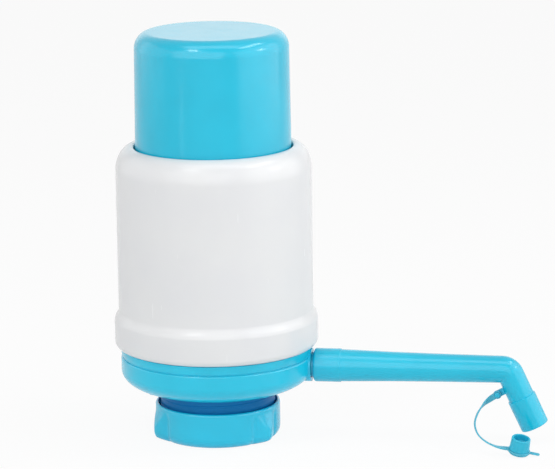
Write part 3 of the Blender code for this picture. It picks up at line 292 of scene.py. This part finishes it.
def swept(form, stations, steps):
    """A ring of edges drawn out through stations of (point, direction, radius)."""

    def place(point, direction, radius):
        turn = direction.to_track_quat("Z", "Y").to_matrix().to_4x4()
        return Matrix.Translation(point) @ turn @ Matrix.Scale(radius, 4)

    at = place(*stations[0])
    first = bmesh.ops.create_circle(form, cap_ends=False, segments=steps, radius=1, matrix=at)["verts"]
    ring = list({edge for vert in first for edge in vert.link_edges})
    for station in stations[1:]:
        after = place(*station)
        drawn = bmesh.ops.extrude_edge_only(form, edges=ring)["geom"]
        verts = [item for item in drawn if isinstance(item, bmesh.types.BMVert)]
        ring = [item for item in drawn if isinstance(item, bmesh.types.BMEdge)]
        bmesh.ops.transform(form, matrix=after @ at.inverted(), verts=verts)
        at = after


def block(form, low, high, place=Matrix()):
    """A box between two corners, turned into its place."""
    low, high = Vector(low), Vector(high)
    size = Matrix.Translation((low + high) / 2) @ Matrix.Diagonal((*(high - low), 1))
    bmesh.ops.create_cube(form, size=1, matrix=place @ size)


def rod(form, radius, low, high, place=Matrix(), steps=SMALL):
    """A round bar along Z, turned into its place."""
    at = place @ Matrix.Translation((0, 0, (low + high) / 2))
    size = {"radius1": radius, "radius2": radius, "depth": high - low}
    bmesh.ops.create_cone(form, cap_ends=True, segments=steps, **size, matrix=at)


def run(edge, axis):
    """How far an edge runs along an axis."""
    return abs(edge.verts[0].co[axis] - edge.verts[1].co[axis])


def round_off(form, edges, offset, segments):
    finish = {"segments": segments, "profile": 0.5, "affect": "EDGES", "material": -1}
    bmesh.ops.bevel(form, geom=edges, offset=offset, **finish)


def move(form, place):
    bmesh.ops.transform(form, matrix=place, verts=form.verts)


def shade(form, sharp):
    """Smooth all over but for the edges that turn more than the sharp angle, in degrees."""
    for face in form.faces:
        face.smooth = True
    for edge in form.edges:
        edge.smooth = edge.calc_face_angle(0) < math.radians(sharp)


def linked(name, data):
    """A new object with the data, in the scene."""
    thing = bpy.data.objects.new(name, data)
    bpy.context.scene.collection.objects.link(thing)
    return thing


def mesh_of(name, form, sharp=32):
    """The form as an object at the origin, in metres, smooth but for its sharp edges."""
    bmesh.ops.remove_doubles(form, verts=form.verts, dist=1e-4)
    bmesh.ops.recalc_face_normals(form, faces=form.faces)
    shade(form, sharp)
    move(form, AXIS)
    mesh = bpy.data.meshes.new(name)
    form.to_mesh(mesh)
    form.free()
    return linked(name, mesh)


def join(thing, form, operation="DIFFERENCE", sharp=32):
    """Cuts the form out of a piece, or joins it on, and marks the sharp edges again."""
    tool = mesh_of("tool", form)
    change = thing.modifiers.new("join", "BOOLEAN")
    change.operation = operation
    change.solver = "EXACT"
    change.object = tool
    graph = bpy.context.evaluated_depsgraph_get()
    changed = bpy.data.meshes.new_from_object(thing.evaluated_get(graph))
    thing.modifiers.clear()
    thing.data = changed
    bpy.data.objects.remove(tool, do_unlink=True)
    form = bmesh.new()
    form.from_mesh(changed)
    shade(form, sharp)
    form.to_mesh(changed)
    form.free()


def settle(thing, look, body, *nodes, slot=None):
    """Gives the piece its material, an even shading and the body that it moves with, and hides the CAD
    nodes that it stands for.
    """
    thing.data.materials.clear()
    thing.data.materials.append(look)
    thing.modifiers.new("even_shading", "WEIGHTED_NORMAL").keep_sharp = True
    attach(thing, body)
    if nodes:
        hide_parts(*nodes)
    slot or nodes[0]


def around(count, radius, first=0.0):
    """Places on a circle about the pump's axis, with X outwards."""
    for number in range(count):
        turn = first + math.tau * number / count
        yield Matrix.Rotation(turn, 4, "Z") @ Matrix.Translation((radius, 0, 0))


def on_port(along=0.0):
    """A place on the port's axis, with Z turned along it."""
    return Matrix.Translation((along, 0, PORT_HEIGHT)) @ UP_TO_X


# Press cap: a cup with a broad rounded shoulder, and the stop flange inside the shell.


def make_press_cap():
    form = bmesh.new()
    corners = [
        (0, 222.8),
        (41.5, 222.8, 7.8, 9.0),
        (42.1, 161.0),
        (42.1, 148.8),
        (45.8, 148.8, 0.4),
        (45.8, 146.2, 0.4),
        (40.1, 146.2, 0.4),
        (40.1, 161.0),
        (39.5, 220.7, 6.4),
        (21.6, 220.7, 0.6),
        (21.6, 217.0, 0.3),
        (20.0, 217.0, 0.3),
        (20.0, 220.7, 0.6),
        (0, 220.7),
    ]
    spun(form, corners, closed=False)
    cap = mesh_of("cap_moulding", form)
    notches = bmesh.new()
    for place in around(4, 20.8):
        block(notches, (-3, -2.5, 215), (3, 2.5, 219.2), place)
    join(cap, notches)
    settle(cap, cyan_abs, "press_cap", "press_cap")


# Body shell: white, with a rounded shoulder, a shallow flare at the foot and a guide collar inside.


def make_body_shell():
    form = bmesh.new()
    corners = [
        (42.9, 161.0, 1.2),
        (52.9, 161.0, 8.8, 13.0),
        (52.9, 70.4, 1.4),
        (55.2, 67.2, 1.6),
        (55.2, 50.9, 3.3, 3.5),
        (50.7, 50.9, 0.3),
        (50.7, 54.4),
        (53.0, 56.6),
        (53.0, 65.1),
        (50.7, 69.6),
        (50.7, 158.8, 5.4, 8.0),
        (45.0, 158.8, 0.4),
        (45.0, 149.1, 0.4),
        (42.9, 149.1, 0.4),
    ]
    spun(form, corners)
    settle(mesh_of("shell_moulding", form), white_abs, "base", "body_shell")


# Bowl: the coloured base with its seam groove, the neck that the clamp ring runs on, and the spout's port.


def make_base_bowl():
    form = bmesh.new()
    corners = [
        (51.1, 50.6, 0.2),
        (52.0, 50.6, 0.4),
        (52.0, 46.4, 0.7, 2.8),
        (51.1, 46.2, 0.1),
        (51.1, 45.4, 0.1),
        (52.1, 45.2, 0.7, 0.8),
        (52.1, 27.0, 21.1, 11.0),
        (30.95, 27.0),
        (30.95, 9.0, 0.4),
        (30.0, 9.0, 0.2),
        (30.0, 13.0),
        (29.5, 19.0),
        (29.5, 26.3, 0.3),
        (5.3, 26.3, 0.3),
        (5.3, 29.4, 0.3),
        (49.7, 29.4, 18.75, 8.6),
        (49.7, 49.5, 0.3),
        (51.1, 49.5),
    ]
    spun(form, corners)
    bowl = mesh_of("bowl_moulding", form)
    port = bmesh.new()
    rod(port, 9.1, 37.0, 52.4, on_port(), MEDIUM)
    join(bowl, port, "UNION")
    posts = bmesh.new()
    for place in around(*POSTS):
        rod(posts, 3.6, 29.2, 49.5, place)
    join(bowl, posts, "UNION")
    holes = bmesh.new()
    rod(holes, 7.0, 42.0, 54.4, on_port(), MEDIUM)
    for place in around(*POSTS):
        rod(holes, SCREW_HOLE, 40.5, 51.5, place)
    for place in around(6, 15.5, math.radians(5)):
        rod(holes, 2.2, 24.3, 31.4, place)
    join(bowl, holes)
    throat = bmesh.new()
    rod(throat, 5.7, 35.0, 44.0, on_port(), MEDIUM)
    join(bowl, throat)
    settle(bowl, base_abs, "base", "base_bowl")

    # The neck below the bowl's floor takes the deeper, duller colour: painted shade under the bowl's
    # overhang.
    bowl.data.materials.append(neck_painted_shade)
    for face in bowl.data.polygons:
        middle = AXIS.inverted() @ face.center
        if middle.z < 26.9 and middle.xy.length < 31.2:
            face.material_index = 1

    # The thread takes the same painted shade as the neck.
    thread = bmesh.new()
    wire(thread, [(30.8, 11.0), (31.25, 11.5), (31.25, 12.1), (30.8, 12.6)])
    turned(thread, LARGE, turns=3, pitch=4.0)
    settle(mesh_of("neck_thread", thread), neck_painted_shade, "base", slot="base_bowl")


# Clamp ring: a nut with three lobes that grow out of its wall towards the foot, and a rounded foot.


def lobe_offset(angle, height):
    """How far the wall stands out of its round form, or dips into the valley beside a lobe."""
    sector = math.tau / LOBES
    away = abs((angle - math.pi / 2 + sector / 2) % sector - sector / 2)
    if away >= VALLEY_HALF:
        return 0.0
    valley = VALLEY_DEPTH * eased((VALLEY_TOP - height) / VALLEY_FADE)
    if away > LOBE_HALF:
        return -valley * ((VALLEY_HALF - away) / (VALLEY_HALF - LOBE_HALF)) ** 2
    flank = LOBE_HEIGHT - (LOBE_HEIGHT + valley) * (away / LOBE_HALF) ** FLANK_CURVE
    shoulder = LOBE_HEIGHT * max(0.0, min(1.0, (LOBE_TOP - height) / LOBE_CONE))
    return min(flank, shoulder)


def make_clamp_ring():
    form = bmesh.new()
    corners = [
        (RING_RADIUS, 19.3, 1.0, 1.5),
        (RING_RADIUS, 17.5),
        *[(RING_RADIUS, height) for height in range(17, 6, -1)],
        (RING_RADIUS, 0, 4.6, 5.4),
        (28.2, 0, 0.2),
        (28.2, 2.4, 0.2),
        (31.35, 2.4),
        (31.35, 14.4),
        (31.6, 16.0),
        (32.6, 18.0),
        (32.6, 19.3, 0.3),
    ]
    spun(form, corners, 360)
    for vert in form.verts:
        radius = vert.co.xy.length
        inside = radius < 28.6 or radius < 33.1 and vert.co.z > 2
        if inside:
            continue
        angle = math.atan2(vert.co.y, vert.co.x)
        # The lobes pull in over the foot's rounding.
        kept = min(1.0, 0.4 + vert.co.z / 3.0)
        out = lobe_offset(angle, vert.co.z) * kept
        vert.co *= Vector((1 + out / radius, 1 + out / radius, 1))
    wall = [v for v in form.verts if 1.0 < v.co.z < 18.2 and v.co.xy.length > 31.9]
    bmesh.ops.smooth_vert(form, verts=wall, factor=0.5, use_axis_x=True, use_axis_y=True, use_axis_z=False)
    settle(mesh_of("ring_moulding", form, 38), base_abs, "clamp_ring", "clamp_ring")


def make_collet():
    form = bmesh.new()
    corners = [
        (28.0, 16.1),
        (27.75, 16.9),
        (28.0, 17.7, 0.15),
        (28.8, 17.7, 0.2),
        (29.2, 16.1),
        (29.2, 4.7, 0.3),
        (30.95, 4.7, 0.3),
        (30.95, 2.7, 0.3),
        (28.0, 2.7, 0.3),
    ]
    spun(form, corners)
    collet = mesh_of("collet_moulding", form)
    slots = bmesh.new()
    for place in around(12, 29.2):
        block(slots, (-3.2, -1.1, 6.3), (2, 1.1, 19.7), place)
    join(collet, slots)
    settle(collet, white_pp, "neck_collet", "neck_collet")


# Spout: a tapered tube with its root sleeve, bend and nozzle sleeve, hollow to the mouth.

# Where the two rings that the spout swivels on lie along it.
SWIVEL_SEALS = 45.2, 49.4


def spout_stations():
    """The tube's outside from root to mouth, then its bore back to the root."""
    right = Vector((1, 0, 0))
    corner, tip = Vector((159.1, 0, PORT_HEIGHT)), Vector((173.57, 0, 9.03))
    down = (tip - corner).normalized()
    length = (tip - corner).length
    turn = down.angle(right)
    bend_radius = 5.0
    bend_start = corner.x - bend_radius * math.tan(turn / 2)

    def straight(x, radius):
        return Vector((x, 0, PORT_HEIGHT)), right, radius

    def leg(along, radius):
        return corner + down * along, down, radius

    def bend(start, stop, steps=16):
        for step in range(steps + 1):
            share = step / steps
            angle = turn * share
            fall = bend_radius * (1 - math.cos(angle))
            point = Vector((bend_start + bend_radius * math.sin(angle), 0, PORT_HEIGHT - fall))
            yield point, Vector((math.cos(angle), 0, -math.sin(angle))), start + (stop - start) * share

    groove = 1.05
    stations = [straight(42.3, 6.0), straight(42.9, 6.6)]
    for middle in SWIVEL_SEALS:
        stations += [straight(middle - groove, 6.6), straight(middle - groove, 5.1)]
        stations += [straight(middle + groove, 5.1), straight(middle + groove, 6.6)]

    sleeve_start, edge, steps = 53.8, 1.1, 4
    stations += [straight(sleeve_start, 6.6), straight(sleeve_start, 8.0)]
    for step in range(1, steps + 1):
        angle = math.pi / 2 * step / steps
        along = sleeve_start + edge * (1 - math.cos(angle))
        stations.append(straight(along, 8.0 + edge * math.sin(angle)))
    stations += [straight(67.9, 9.1), straight(68.3, 9.0), straight(68.5, 8.75)]
    stations += [straight(96.0, 8.02), straight(124.0, 7.6)]
    stations += bend(7.3, 7.15)
    stations += [leg(16.5, 7.1), leg(16.55, 7.5), leg(16.75, 7.75), leg(17.1, 7.8)]
    stations += [leg(length - 0.8, 7.7), leg(length - 0.3, 7.56), leg(length, 7.2)]
    stations += [leg(length, 5.9), leg(length - 0.3, 5.7), leg(16.1, 5.0)]
    stations += reversed(list(bend(5.7, 5.2, 8)))
    stations += [straight(68.5, 7.1), straight(55.3, 3.8), straight(42.3, 3.8)]
    return stations


def make_spout():
    form = bmesh.new()
    stations = spout_stations()
    swept(form, stations + stations[:1], 96)
    spout = mesh_of("spout_moulding", form)

    lug = bmesh.new()
    half = LUG_THICKNESS / 2
    block(lug, (-1.9, -half, -11.9), (1.9, half, -4.6))
    end = [e for e in lug.edges if all(v.co.z < -11 for v in e.verts) and run(e, Y) > 1]
    round_off(lug, end, 1.8, 8)
    rims = [e for e in lug.edges if run(e, Y) < 1e-3]
    round_off(lug, rims, 0.25, 2)
    move(lug, Matrix.Translation(LUG_MIDDLE) @ Matrix.Rotation(NOZZLE_ANGLE, 4, "Y"))
    settle(mesh_of("strap_lug", lug), spout_abs, "spout", slot="spout")

    pin = bmesh.new()
    head = [(0, 3.1), (1.5, 3.1, 0.5), (1.5, 2.4, 0.2), (1.0, 2.4), (1.0, 0), (0, 0)]
    spun(pin, head, SMALL, closed=False)
    move(pin, Matrix.Translation(PIN_MIDDLE) @ Z_TO_SIDE)
    settle(mesh_of("strap_pin", pin), spout_abs, "spout", slot="spout")
    settle(spout, spout_abs, "spout", "spout")


# Strap and plug.


def smooth_route(points, count):
    """Points and directions along a smooth curve through the given points."""
    route = []
    spans = len(points) - 1
    for number in range(count + 1):
        at = min(number / count * spans, spans - 1e-6)
        i = int(at)
        t = at - i
        before = points[i - 1] if i else 2 * points[0] - points[1]
        after = points[i + 2] if i + 2 <= spans else 2 * points[-1] - points[-2]
        slopes = (points[i + 1] - before) / 2, (after - points[i]) / 2
        gap = points[i] - points[i + 1]
        way = slopes[0] * (3 * t**2 - 4 * t + 1) + gap * (6 * t**2 - 6 * t) + slopes[1] * (3 * t**2 - 2 * t)
        spot = points[i] * (2 * t**3 - 3 * t**2 + 1) + slopes[0] * (t**3 - 2 * t**2 + t)
        spot = spot + points[i + 1] * (3 * t**2 - 2 * t**3) + slopes[1] * (t**3 - t**2)
        route.append((spot, way.normalized()))
    return route


def band_places():
    """Where the band's section stands along its way from the pin to the plug's ring."""
    # The band's bends, as shares of the way along X, Y and Z.
    bends = [
        (-0.41, 0.04, 0.09),
        (-0.84, 0.13, 0.22),
        (-1.17, 0.27, 0.40),
        (-1.28, 0.44, 0.60),
        (-1.03, 0.64, 0.78),
        (-0.48, 0.80, 0.91),
        (0.24, 0.93, 0.98),
    ]
    ring_end = PLUG_PLACE @ Vector((0.6 - 6.0, 0, 1.3))
    way = ring_end - EYE_MIDDLE
    points = [EYE_MIDDLE]
    points += [EYE_MIDDLE + Vector([a * b for a, b in zip(way, shares)]) for shares in bends]
    points.append(ring_end)
    across = Vector((-0.16, 1, -0.2)).normalized()
    plug_side = PLUG_PLACE.to_3x3() @ Vector((0, 1, 0))
    for number, (spot, direction) in enumerate(smooth_route(points, BAND_STEPS)):
        share = number / BAND_STEPS
        flat = direction.cross(across).normalized()
        level = flat.cross(direction)
        twist = math.pi / 2 * eased(share / TWIST_SHARE)
        side = flat * math.cos(twist) + level * math.sin(twist)
        side = side.lerp(plug_side, eased((share - LEVEL_SHARE) / (1 - LEVEL_SHARE)))
        side = (side - direction * side.dot(direction)).normalized()
        place = Matrix((side, direction.cross(side), direction)).transposed().to_4x4()
        place.translation = spot
        yield place


def make_strap():
    form = bmesh.new()
    block(form, (-BAND_WIDTH / 2, -BAND_THICKNESS / 2, -0.5), (BAND_WIDTH / 2, BAND_THICKNESS / 2, 0))
    round_off(form, [e for e in form.edges if run(e, Z) > 0.1], 0.2, 2)
    top = [face for face in form.faces if face.calc_center_median().z > -0.01]
    bottom = [face for face in form.faces if face.calc_center_median().z < -0.49]
    bmesh.ops.delete(form, geom=bottom, context="FACES")
    at = Matrix()
    for number, place in enumerate(band_places()):
        if number == 0:
            move(form, place)
        else:
            region = bmesh.ops.extrude_face_region(form, geom=top)["geom"]
            bmesh.ops.delete(form, geom=top, context="FACES_ONLY")
            verts = [item for item in region if isinstance(item, bmesh.types.BMVert)]
            top = [item for item in region if isinstance(item, bmesh.types.BMFace)]
            bmesh.ops.transform(form, matrix=place @ at.inverted(), verts=verts)
        at = place
    settle(mesh_of("strap_band", form), strap_pe, "plug_and_strap", "plug_strap")

    eye = bmesh.new()
    spun(eye, [(2.3, 0.5, 0.2), (2.3, -0.5, 0.2), (1.3, -0.5, 0.1), (1.3, 0.5, 0.1)], SMALL)
    move(eye, Matrix.Translation(EYE_MIDDLE) @ Z_TO_SIDE)
    settle(mesh_of("strap_eye", eye), strap_pe, "plug_and_strap", slot="plug_strap")

    ring = bmesh.new()
    spun(ring, [(6.0, 2.05, 0.35), (6.0, 0.75, 0.25), (4.8, 0.75, 0.1), (4.8, 2.05, 0.1)], MEDIUM)
    move(ring, PLUG_PLACE)
    settle(mesh_of("strap_ring", ring), strap_pe, "plug_and_strap", slot="plug_strap")

    tab = bmesh.new()
    block(tab, (5.4, -1.3, 1.0), (11.2, 1.3, 1.5))
    tips = [e for e in tab.edges if all(v.co.x > 11 for v in e.verts) and run(e, Z) > 0.1]
    round_off(tab, tips, 1.1, 6)
    rims = [e for e in tab.edges if run(e, Z) < 1e-3 and sum(v.co.x for v in e.verts) > 11]
    round_off(tab, rims, 0.15, 2)
    move(tab, PLUG_PLACE)
    settle(mesh_of("strap_tab", tab), strap_pe, "plug_and_strap", slot="plug_strap")


def make_plug():
    form = bmesh.new()
    corners = [
        (0, 5.4),
        (4.2, 5.4, 0.5),
        (3.95, 8.9, 0.2),
        (5.05, 8.9, 0.3),
        (5.4, 2.1, 0.2),
        (4.5, 2.1),
        (4.5, 0.5),
        (5.3, 0.5, 0.15),
        (5.3, 0, 0.2),
        (0, 0),
    ]
    spun(form, corners, MEDIUM, closed=False)
    move(form, PLUG_PLACE)
    settle(mesh_of("plug_moulding", form), plug_pe, "plug_and_strap", "dust_plug")


# Pieces below and inside.


def make_connector():
    """A stub with three barbs that grip the dip tube, and a flange under the bowl's floor."""
    form = bmesh.new()
    barbs = []
    for barb in (14.8, 11.2, 7.6):
        barbs += [(6.0, barb), (6.6, barb, 0.1), (6.0, barb - 2.4)]
    corners = [
        (3.6, 34.3, 0.2),
        (5.0, 34.3, 0.2),
        (5.0, 26.0),
        (9.0, 26.0, 0.3),
        (9.0, 23.4, 0.3),
        (6.0, 23.4, 0.5),
        *barbs,
        (6.0, 4.0, 0.2),
        (3.6, 4.0, 0.2),
    ]
    spun(form, corners, MEDIUM)
    settle(mesh_of("connector_moulding", form), white_pp, "base", "tube_connector")


def make_gasket():
    form = bmesh.new()
    spun(form, [(22.5, 26.0, 0.3), (29.2, 26.0, 0.3), (29.2, 24.0, 0.3), (22.5, 24.0, 0.3)])
    settle(mesh_of("gasket_washer", form), silicone, "base", "neck_gasket")


def make_bellows():
    """Ten folds between the top plate, which the cap drives, and the flange on the deck."""
    plate, top, bottom, flange, folds = 216.7, 215.5, 59.0, 53.8, 10
    pitch = (top - bottom) / folds
    crest_radius, root_radius, wall = 36.0, 29.0, 0.9
    outer, inner = [], []
    for fold in range(folds):
        crest = top - pitch * (fold + 0.5)
        outer.append((crest_radius, crest, 1.1))
        inner.append((crest_radius - wall, crest, 0.6))
        if fold < folds - 1:
            root = top - pitch * (fold + 1)
            outer.append((root_radius, root, 1.1))
            inner.append((root_radius - wall, root, 0.6))
    corners = [(2.0, plate, 0.2), (25.0, plate, 1.0), *outer, (31.9, bottom), (31.9, 55.2, 0.5)]
    corners += [(37.3, 55.2, 0.3), (37.3, flange, 0.3), (31.0, flange, 0.3), (31.0, bottom)]
    corners += [*reversed(inner), (24.1, top), (2.0, top, 0.2)]
    form = bmesh.new()
    spun(form, corners, MEDIUM)
    bellows = mesh_of("bellows_moulding", form, 60)
    vents = bmesh.new()
    for place in around(4, 6.0):
        rod(vents, 1.8, 214.5, 217.7, place)
    join(bellows, vents, sharp=60)
    settle(bellows, blown_ldpe, "base", "bellows")
    bellows.modifiers.clear()
    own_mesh(bellows)


def make_deck():
    form = bmesh.new()
    corners = [
        (2.0, 52.2, 0.2),
        (48.1, 52.2, 0.6),
        (48.1, 57.5, 0.5),
        (50.3, 57.5, 0.5),
        (50.3, 50.5),
        (50.8, 50.5, 0.2),
        (50.8, 49.8, 0.2),
        (2.0, 49.8, 0.2),
    ]
    spun(form, corners)
    deck = mesh_of("deck_plate", form)
    holes = bmesh.new()
    for place in [*around(6, 7.0), *around(*POSTS)]:
        rod(holes, SCREW_HOLE, 48.8, 53.2, place)
    join(deck, holes)
    settle(deck, deep_cyan_abs, "base", "pump_deck")


def make_retainer():
    form = bmesh.new()
    corners = [
        (34.2, 57.3, 0.4),
        (46.6, 57.3, 0.6),
        (46.6, 52.5, 0.3),
        (37.7, 52.5, 0.2),
        (37.7, 55.5, 0.2),
        (34.2, 55.5, 0.3),
    ]
    spun(form, corners)
    retainer = mesh_of("retainer_ring", form)
    holes = bmesh.new()
    for place in around(*POSTS):
        rod(holes, SCREW_HOLE, 51.5, 58.3, place)
    join(retainer, holes)
    settle(retainer, white_pp, "base", "bellows_retainer")

    seal = bmesh.new()
    spun(seal, [(31.0, 53.5, 0.2), (37.3, 53.5, 0.2), (37.3, 52.5, 0.2), (31.0, 52.5, 0.2)])
    settle(mesh_of("flange_washer", seal), black_rubber, "base", "bellows_seal")


def make_screws():
    for number, place in enumerate(around(*POSTS), 1):
        form = bmesh.new()
        corners = [
            (0, 59.8),
            (3.1, 59.8, 1.2, 1.0),
            (3.1, 57.6, 0.2),
            (1.6, 57.6),
            (1.6, 46.6),
            (0, 44.6),
        ]
        spun(form, corners, SMALL, closed=False)
        move(form, place)
        screw = mesh_of(f"screw_{number}", form)
        slot = bmesh.new()
        block(slot, (-4, -0.45, 58.9), (4, 0.45, 60.8), place)
        join(screw, slot)

        thread = bmesh.new()
        wire(thread, [(1.55, 46.7), (1.85, 46.95), (1.55, 47.2)])
        turned(thread, SMALL, turns=7, pitch=1.3)
        bmesh.ops.holes_fill(thread, edges=thread.edges, sides=4)
        move(thread, place)
        settle(mesh_of(f"screw_thread_{number}", thread), plated_steel, "base", slot="deck_screw")
        settle(screw, plated_steel, "base", f"deck_screw_{number}", slot="deck_screw")


def make_valve(name, node, body, under, over, radius):
    """A soft umbrella: a dished disc under a plate, a stem through it and a head above.

    It has slack at the plate, and room for its lift under the head.
    """
    slack, lift = 0.3, 1.2
    disc = under - slack
    head = over + slack + lift
    form = bmesh.new()
    corners = [
        (0, head + 1.4),
        (1.6, head + 1.4, 0.5),
        (2.7, head, 0.3),
        (1.6, head, 0.1),
        (1.6, disc, 0.1),
        (radius, disc, 0.1),
        (radius, disc - 0.5, 0.2),
        (2.7, disc - 1.0, 1.5),
        (1.6, disc - 1.6, 0.3),
        (0, disc - 1.6),
    ]
    spun(form, corners, MEDIUM, closed=False)
    settle(mesh_of(name, form), silicone, body, node)


def make_elbow():
    """A hub on the bowl's floor, a bend and an arm that plugs into the port."""
    bend_radius, steps = 8.0, 16
    bend_start = PORT_HEIGHT - bend_radius
    route = [(Vector((0, 0, height)), Vector((0, 0, 1))) for height in (30.7, bend_start)]
    for step in range(1, steps + 1):
        angle = math.pi / 2 * step / steps
        spot = Vector((bend_radius * (1 - math.cos(angle)), 0, bend_start + bend_radius * math.sin(angle)))
        route.append((spot, Vector((math.sin(angle), 0, math.cos(angle)))))
    route.append((Vector((41.7, 0, PORT_HEIGHT)), Vector((1, 0, 0))))

    form = bmesh.new()
    outside = [(spot, way, 5.4) for spot, way in route]
    inside = [(spot, way, 3.6) for spot, way in reversed(route)]
    swept(form, [*outside, *inside, outside[0]], SMALL)
    elbow = mesh_of("elbow_duct", form)
    socket = bmesh.new()
    rod(socket, 5.2, 29.7, 34.6)
    join(elbow, socket)
    settle(elbow, white_pp, "base", "water_elbow")

    hub = bmesh.new()
    corners = [
        (5.3, 29.7, 0.2),
        (11.5, 29.7, 0.3),
        (11.5, 31.7, 0.4),
        (7.6, 31.7, 0.8),
        (7.6, 36.3, 0.6),
        (5.4, 36.3),
        (5.4, 34.9),
        (5.3, 34.9),
    ]
    spun(hub, corners, MEDIUM)
    settle(mesh_of("elbow_hub", hub), white_pp, "base", slot="water_elbow")

    collar = bmesh.new()
    spun(collar, [(5.35, 34.2, 0.1), (8.2, 34.2, 0.4), (8.2, 31.6, 0.4), (5.35, 31.6, 0.1)], MEDIUM)
    move(collar, on_port())
    settle(mesh_of("elbow_collar", collar), white_pp, "base", slot="water_elbow")


def make_ring_seal(name, node, body, along, middle, section):
    """A round-section ring about the port's axis."""
    form = bmesh.new()
    signs = ((-1, -1), (1, -1), (1, 1), (-1, 1))
    spun(form, [(middle + x * section, y * section, section * 0.999) for x, y in signs], MEDIUM)
    move(form, on_port(along))
    slot = "elbow_seal" if node == "elbow_seal" else "spout_oring"
    settle(mesh_of(name, form), black_rubber, body, node, slot=slot)


make_press_cap()
make_body_shell()
make_base_bowl()
make_clamp_ring()
make_collet()
make_spout()
make_strap()
make_plug()
make_connector()
make_gasket()
make_bellows()
make_deck()
make_retainer()
make_screws()
make_valve("intake_umbrella", "intake_valve", "intake_valve", 215.5, 216.7, 9.5)
make_valve("delivery_umbrella", "delivery_valve", "delivery_valve", 49.8, 52.2, 11.0)
make_elbow()
make_ring_seal("port_seal", "elbow_seal", "base", 35.6, 6.8, 1.1)
for number, along in enumerate(SWIVEL_SEALS, 1):
    make_ring_seal(f"swivel_seal_{number}", f"spout_oring_{number}", "spout", along, 6.05, 0.75)


# Studio: a pale floor, white surroundings, and soft boxes.


def seen_by(tree, *rays):
    """1 for a ray of any of these kinds, else 0."""
    path = add(tree, "LightPath")
    seen = path.outputs[rays[0]]
    for ray in rays[1:]:
        seen = add(tree, "Math", {0: seen, 1: path.outputs[ray]}, operation="MAXIMUM").outputs["Value"]
    return seen


def make_floor():
    """A matt floor that glows to the eye: nearly as white as the backdrop, with the pump's shadow."""
    form = bmesh.new()
    bmesh.ops.create_grid(form, x_segments=1, y_segments=1, size=6.0)
    mesh = bpy.data.meshes.new("floor")
    form.to_mesh(mesh)
    form.free()
    floor = linked("floor", mesh)
    look = bpy.data.materials.new("floor_white")
    look.use_nodes = True
    tree = look.node_tree
    tree.nodes.clear()
    matt = add(tree, "BsdfDiffuse", {"Color": linear("F2F2F2")})
    glow = add(tree, "Emission", {"Color": (1, 1, 1, 1), "Strength": 1.0})
    seen = seen_by(tree, "Is Camera Ray", "Is Glossy Ray")
    share = add(tree, "Math", {0: seen, 1: FLOOR_GLOW}, operation="MULTIPLY")
    mix = {0: share.outputs["Value"], 1: matt.outputs["BSDF"], 2: glow.outputs["Emission"]}
    surface = add(tree, "MixShader", mix)
    add(tree, "OutputMaterial", {"Surface": surface.outputs["Shader"]})
    mesh.materials.append(look)


def make_world():
    """White to the eye and in reflections, and dim as a light, so that the soft boxes shape the pump."""
    world = bpy.data.worlds.new("studio")
    bpy.context.scene.world = world
    world.use_nodes = True
    tree = world.node_tree
    tree.nodes.clear()
    seen = seen_by(tree, "Is Camera Ray", "Is Glossy Ray", "Is Transmission Ray")
    strength = add(tree, "MapRange", {"Value": seen, "To Min": AMBIENT, "To Max": 1.0})
    back = add(tree, "Background", {"Color": (1, 1, 1, 1), "Strength": strength.outputs["Result"]})
    add(tree, "OutputWorld", {"Surface": back.outputs["Background"]})


def make_softbox(name, turn, rise, away, size, level):
    """A soft box that faces the pump: degrees right of the camera, degrees up, metres away.

    A level of 1 is as bright as the white surroundings.
    """
    angle = CAMERA_AZIMUTH + math.radians(turn)
    up = math.radians(rise)
    way = Vector((math.cos(angle) * math.cos(up), math.sin(angle) * math.cos(up), math.sin(up)))
    middle = AXIS @ Vector((0, 0, 110))
    light = bpy.data.lights.new(name, "AREA")
    light.shape = "RECTANGLE"
    light.size, light.size_y = size
    light.energy = math.pi * size[0] * size[1] * level
    lamp = linked(name, light)
    lamp.visible_camera = False
    facing = way.to_track_quat("Z", "Y").to_matrix().to_4x4()
    lamp.matrix_world = Matrix.Translation(middle + way * away) @ facing


def make_camera():
    rise, roll = CAMERA_RISE, CAMERA_ROLL
    level_back = Vector((math.cos(CAMERA_AZIMUTH), math.sin(CAMERA_AZIMUTH), 0))
    right = Vector((0, 0, 1)).cross(level_back)
    back = level_back * math.cos(rise) + Vector((0, 0, 1)) * math.sin(rise)
    up = back.cross(right)
    aim = AXIS @ (right * AIM_RIGHT + Vector((0, 0, AIM_UP)))
    rolled_right = right * math.cos(roll) + up * math.sin(roll)
    rolled_up = up * math.cos(roll) - right * math.sin(roll)
    lens = bpy.data.cameras.new("camera")
    lens.sensor_width = 36.0
    lens.lens = CAMERA_LENS
    lens.clip_start, lens.clip_end = 0.1, 50.0
    camera = linked("camera", lens)
    pose = Matrix((rolled_right, rolled_up, back)).transposed().to_4x4()
    pose.translation = aim + back * CAMERA_DISTANCE * MM
    camera.matrix_world = pose
    bpy.context.scene.camera = camera


make_floor()
make_world()
# Broad boxes shape the round walls, and the strips and the window draw the highlights on the cap's edge.
make_softbox("right_panel", 78, 15, 0.9, (1.5, 0.9), 1.2)
make_softbox("left_panel", -100, 18, 0.95, (1.1, 0.75), 0.65)
make_softbox("front_fill", -20, 22, 1.8, (2.8, 1.4), 1.48)
make_softbox("top_fill", 0, 74, 1.3, (1.3, 0.5), 2.0)
make_softbox("right_window", 84, 53, 1.2, (0.8, 0.14), 7.0)
make_softbox("crest_strip", 82, 27, 1.0, (0.16, 0.08), 12.0)
make_softbox("left_strip", -32, 49, 1.2, (0.24, 0.08), 22.0)
make_softbox("low_strip", -44, -5.4, 0.85, (0.03, 0.08), 3.0)
make_softbox("back_box", 180, 14, 2.2, (2.2, 0.8), 0.35)
make_camera()
bpy.context.scene.view_settings.view_transform = "Standard"
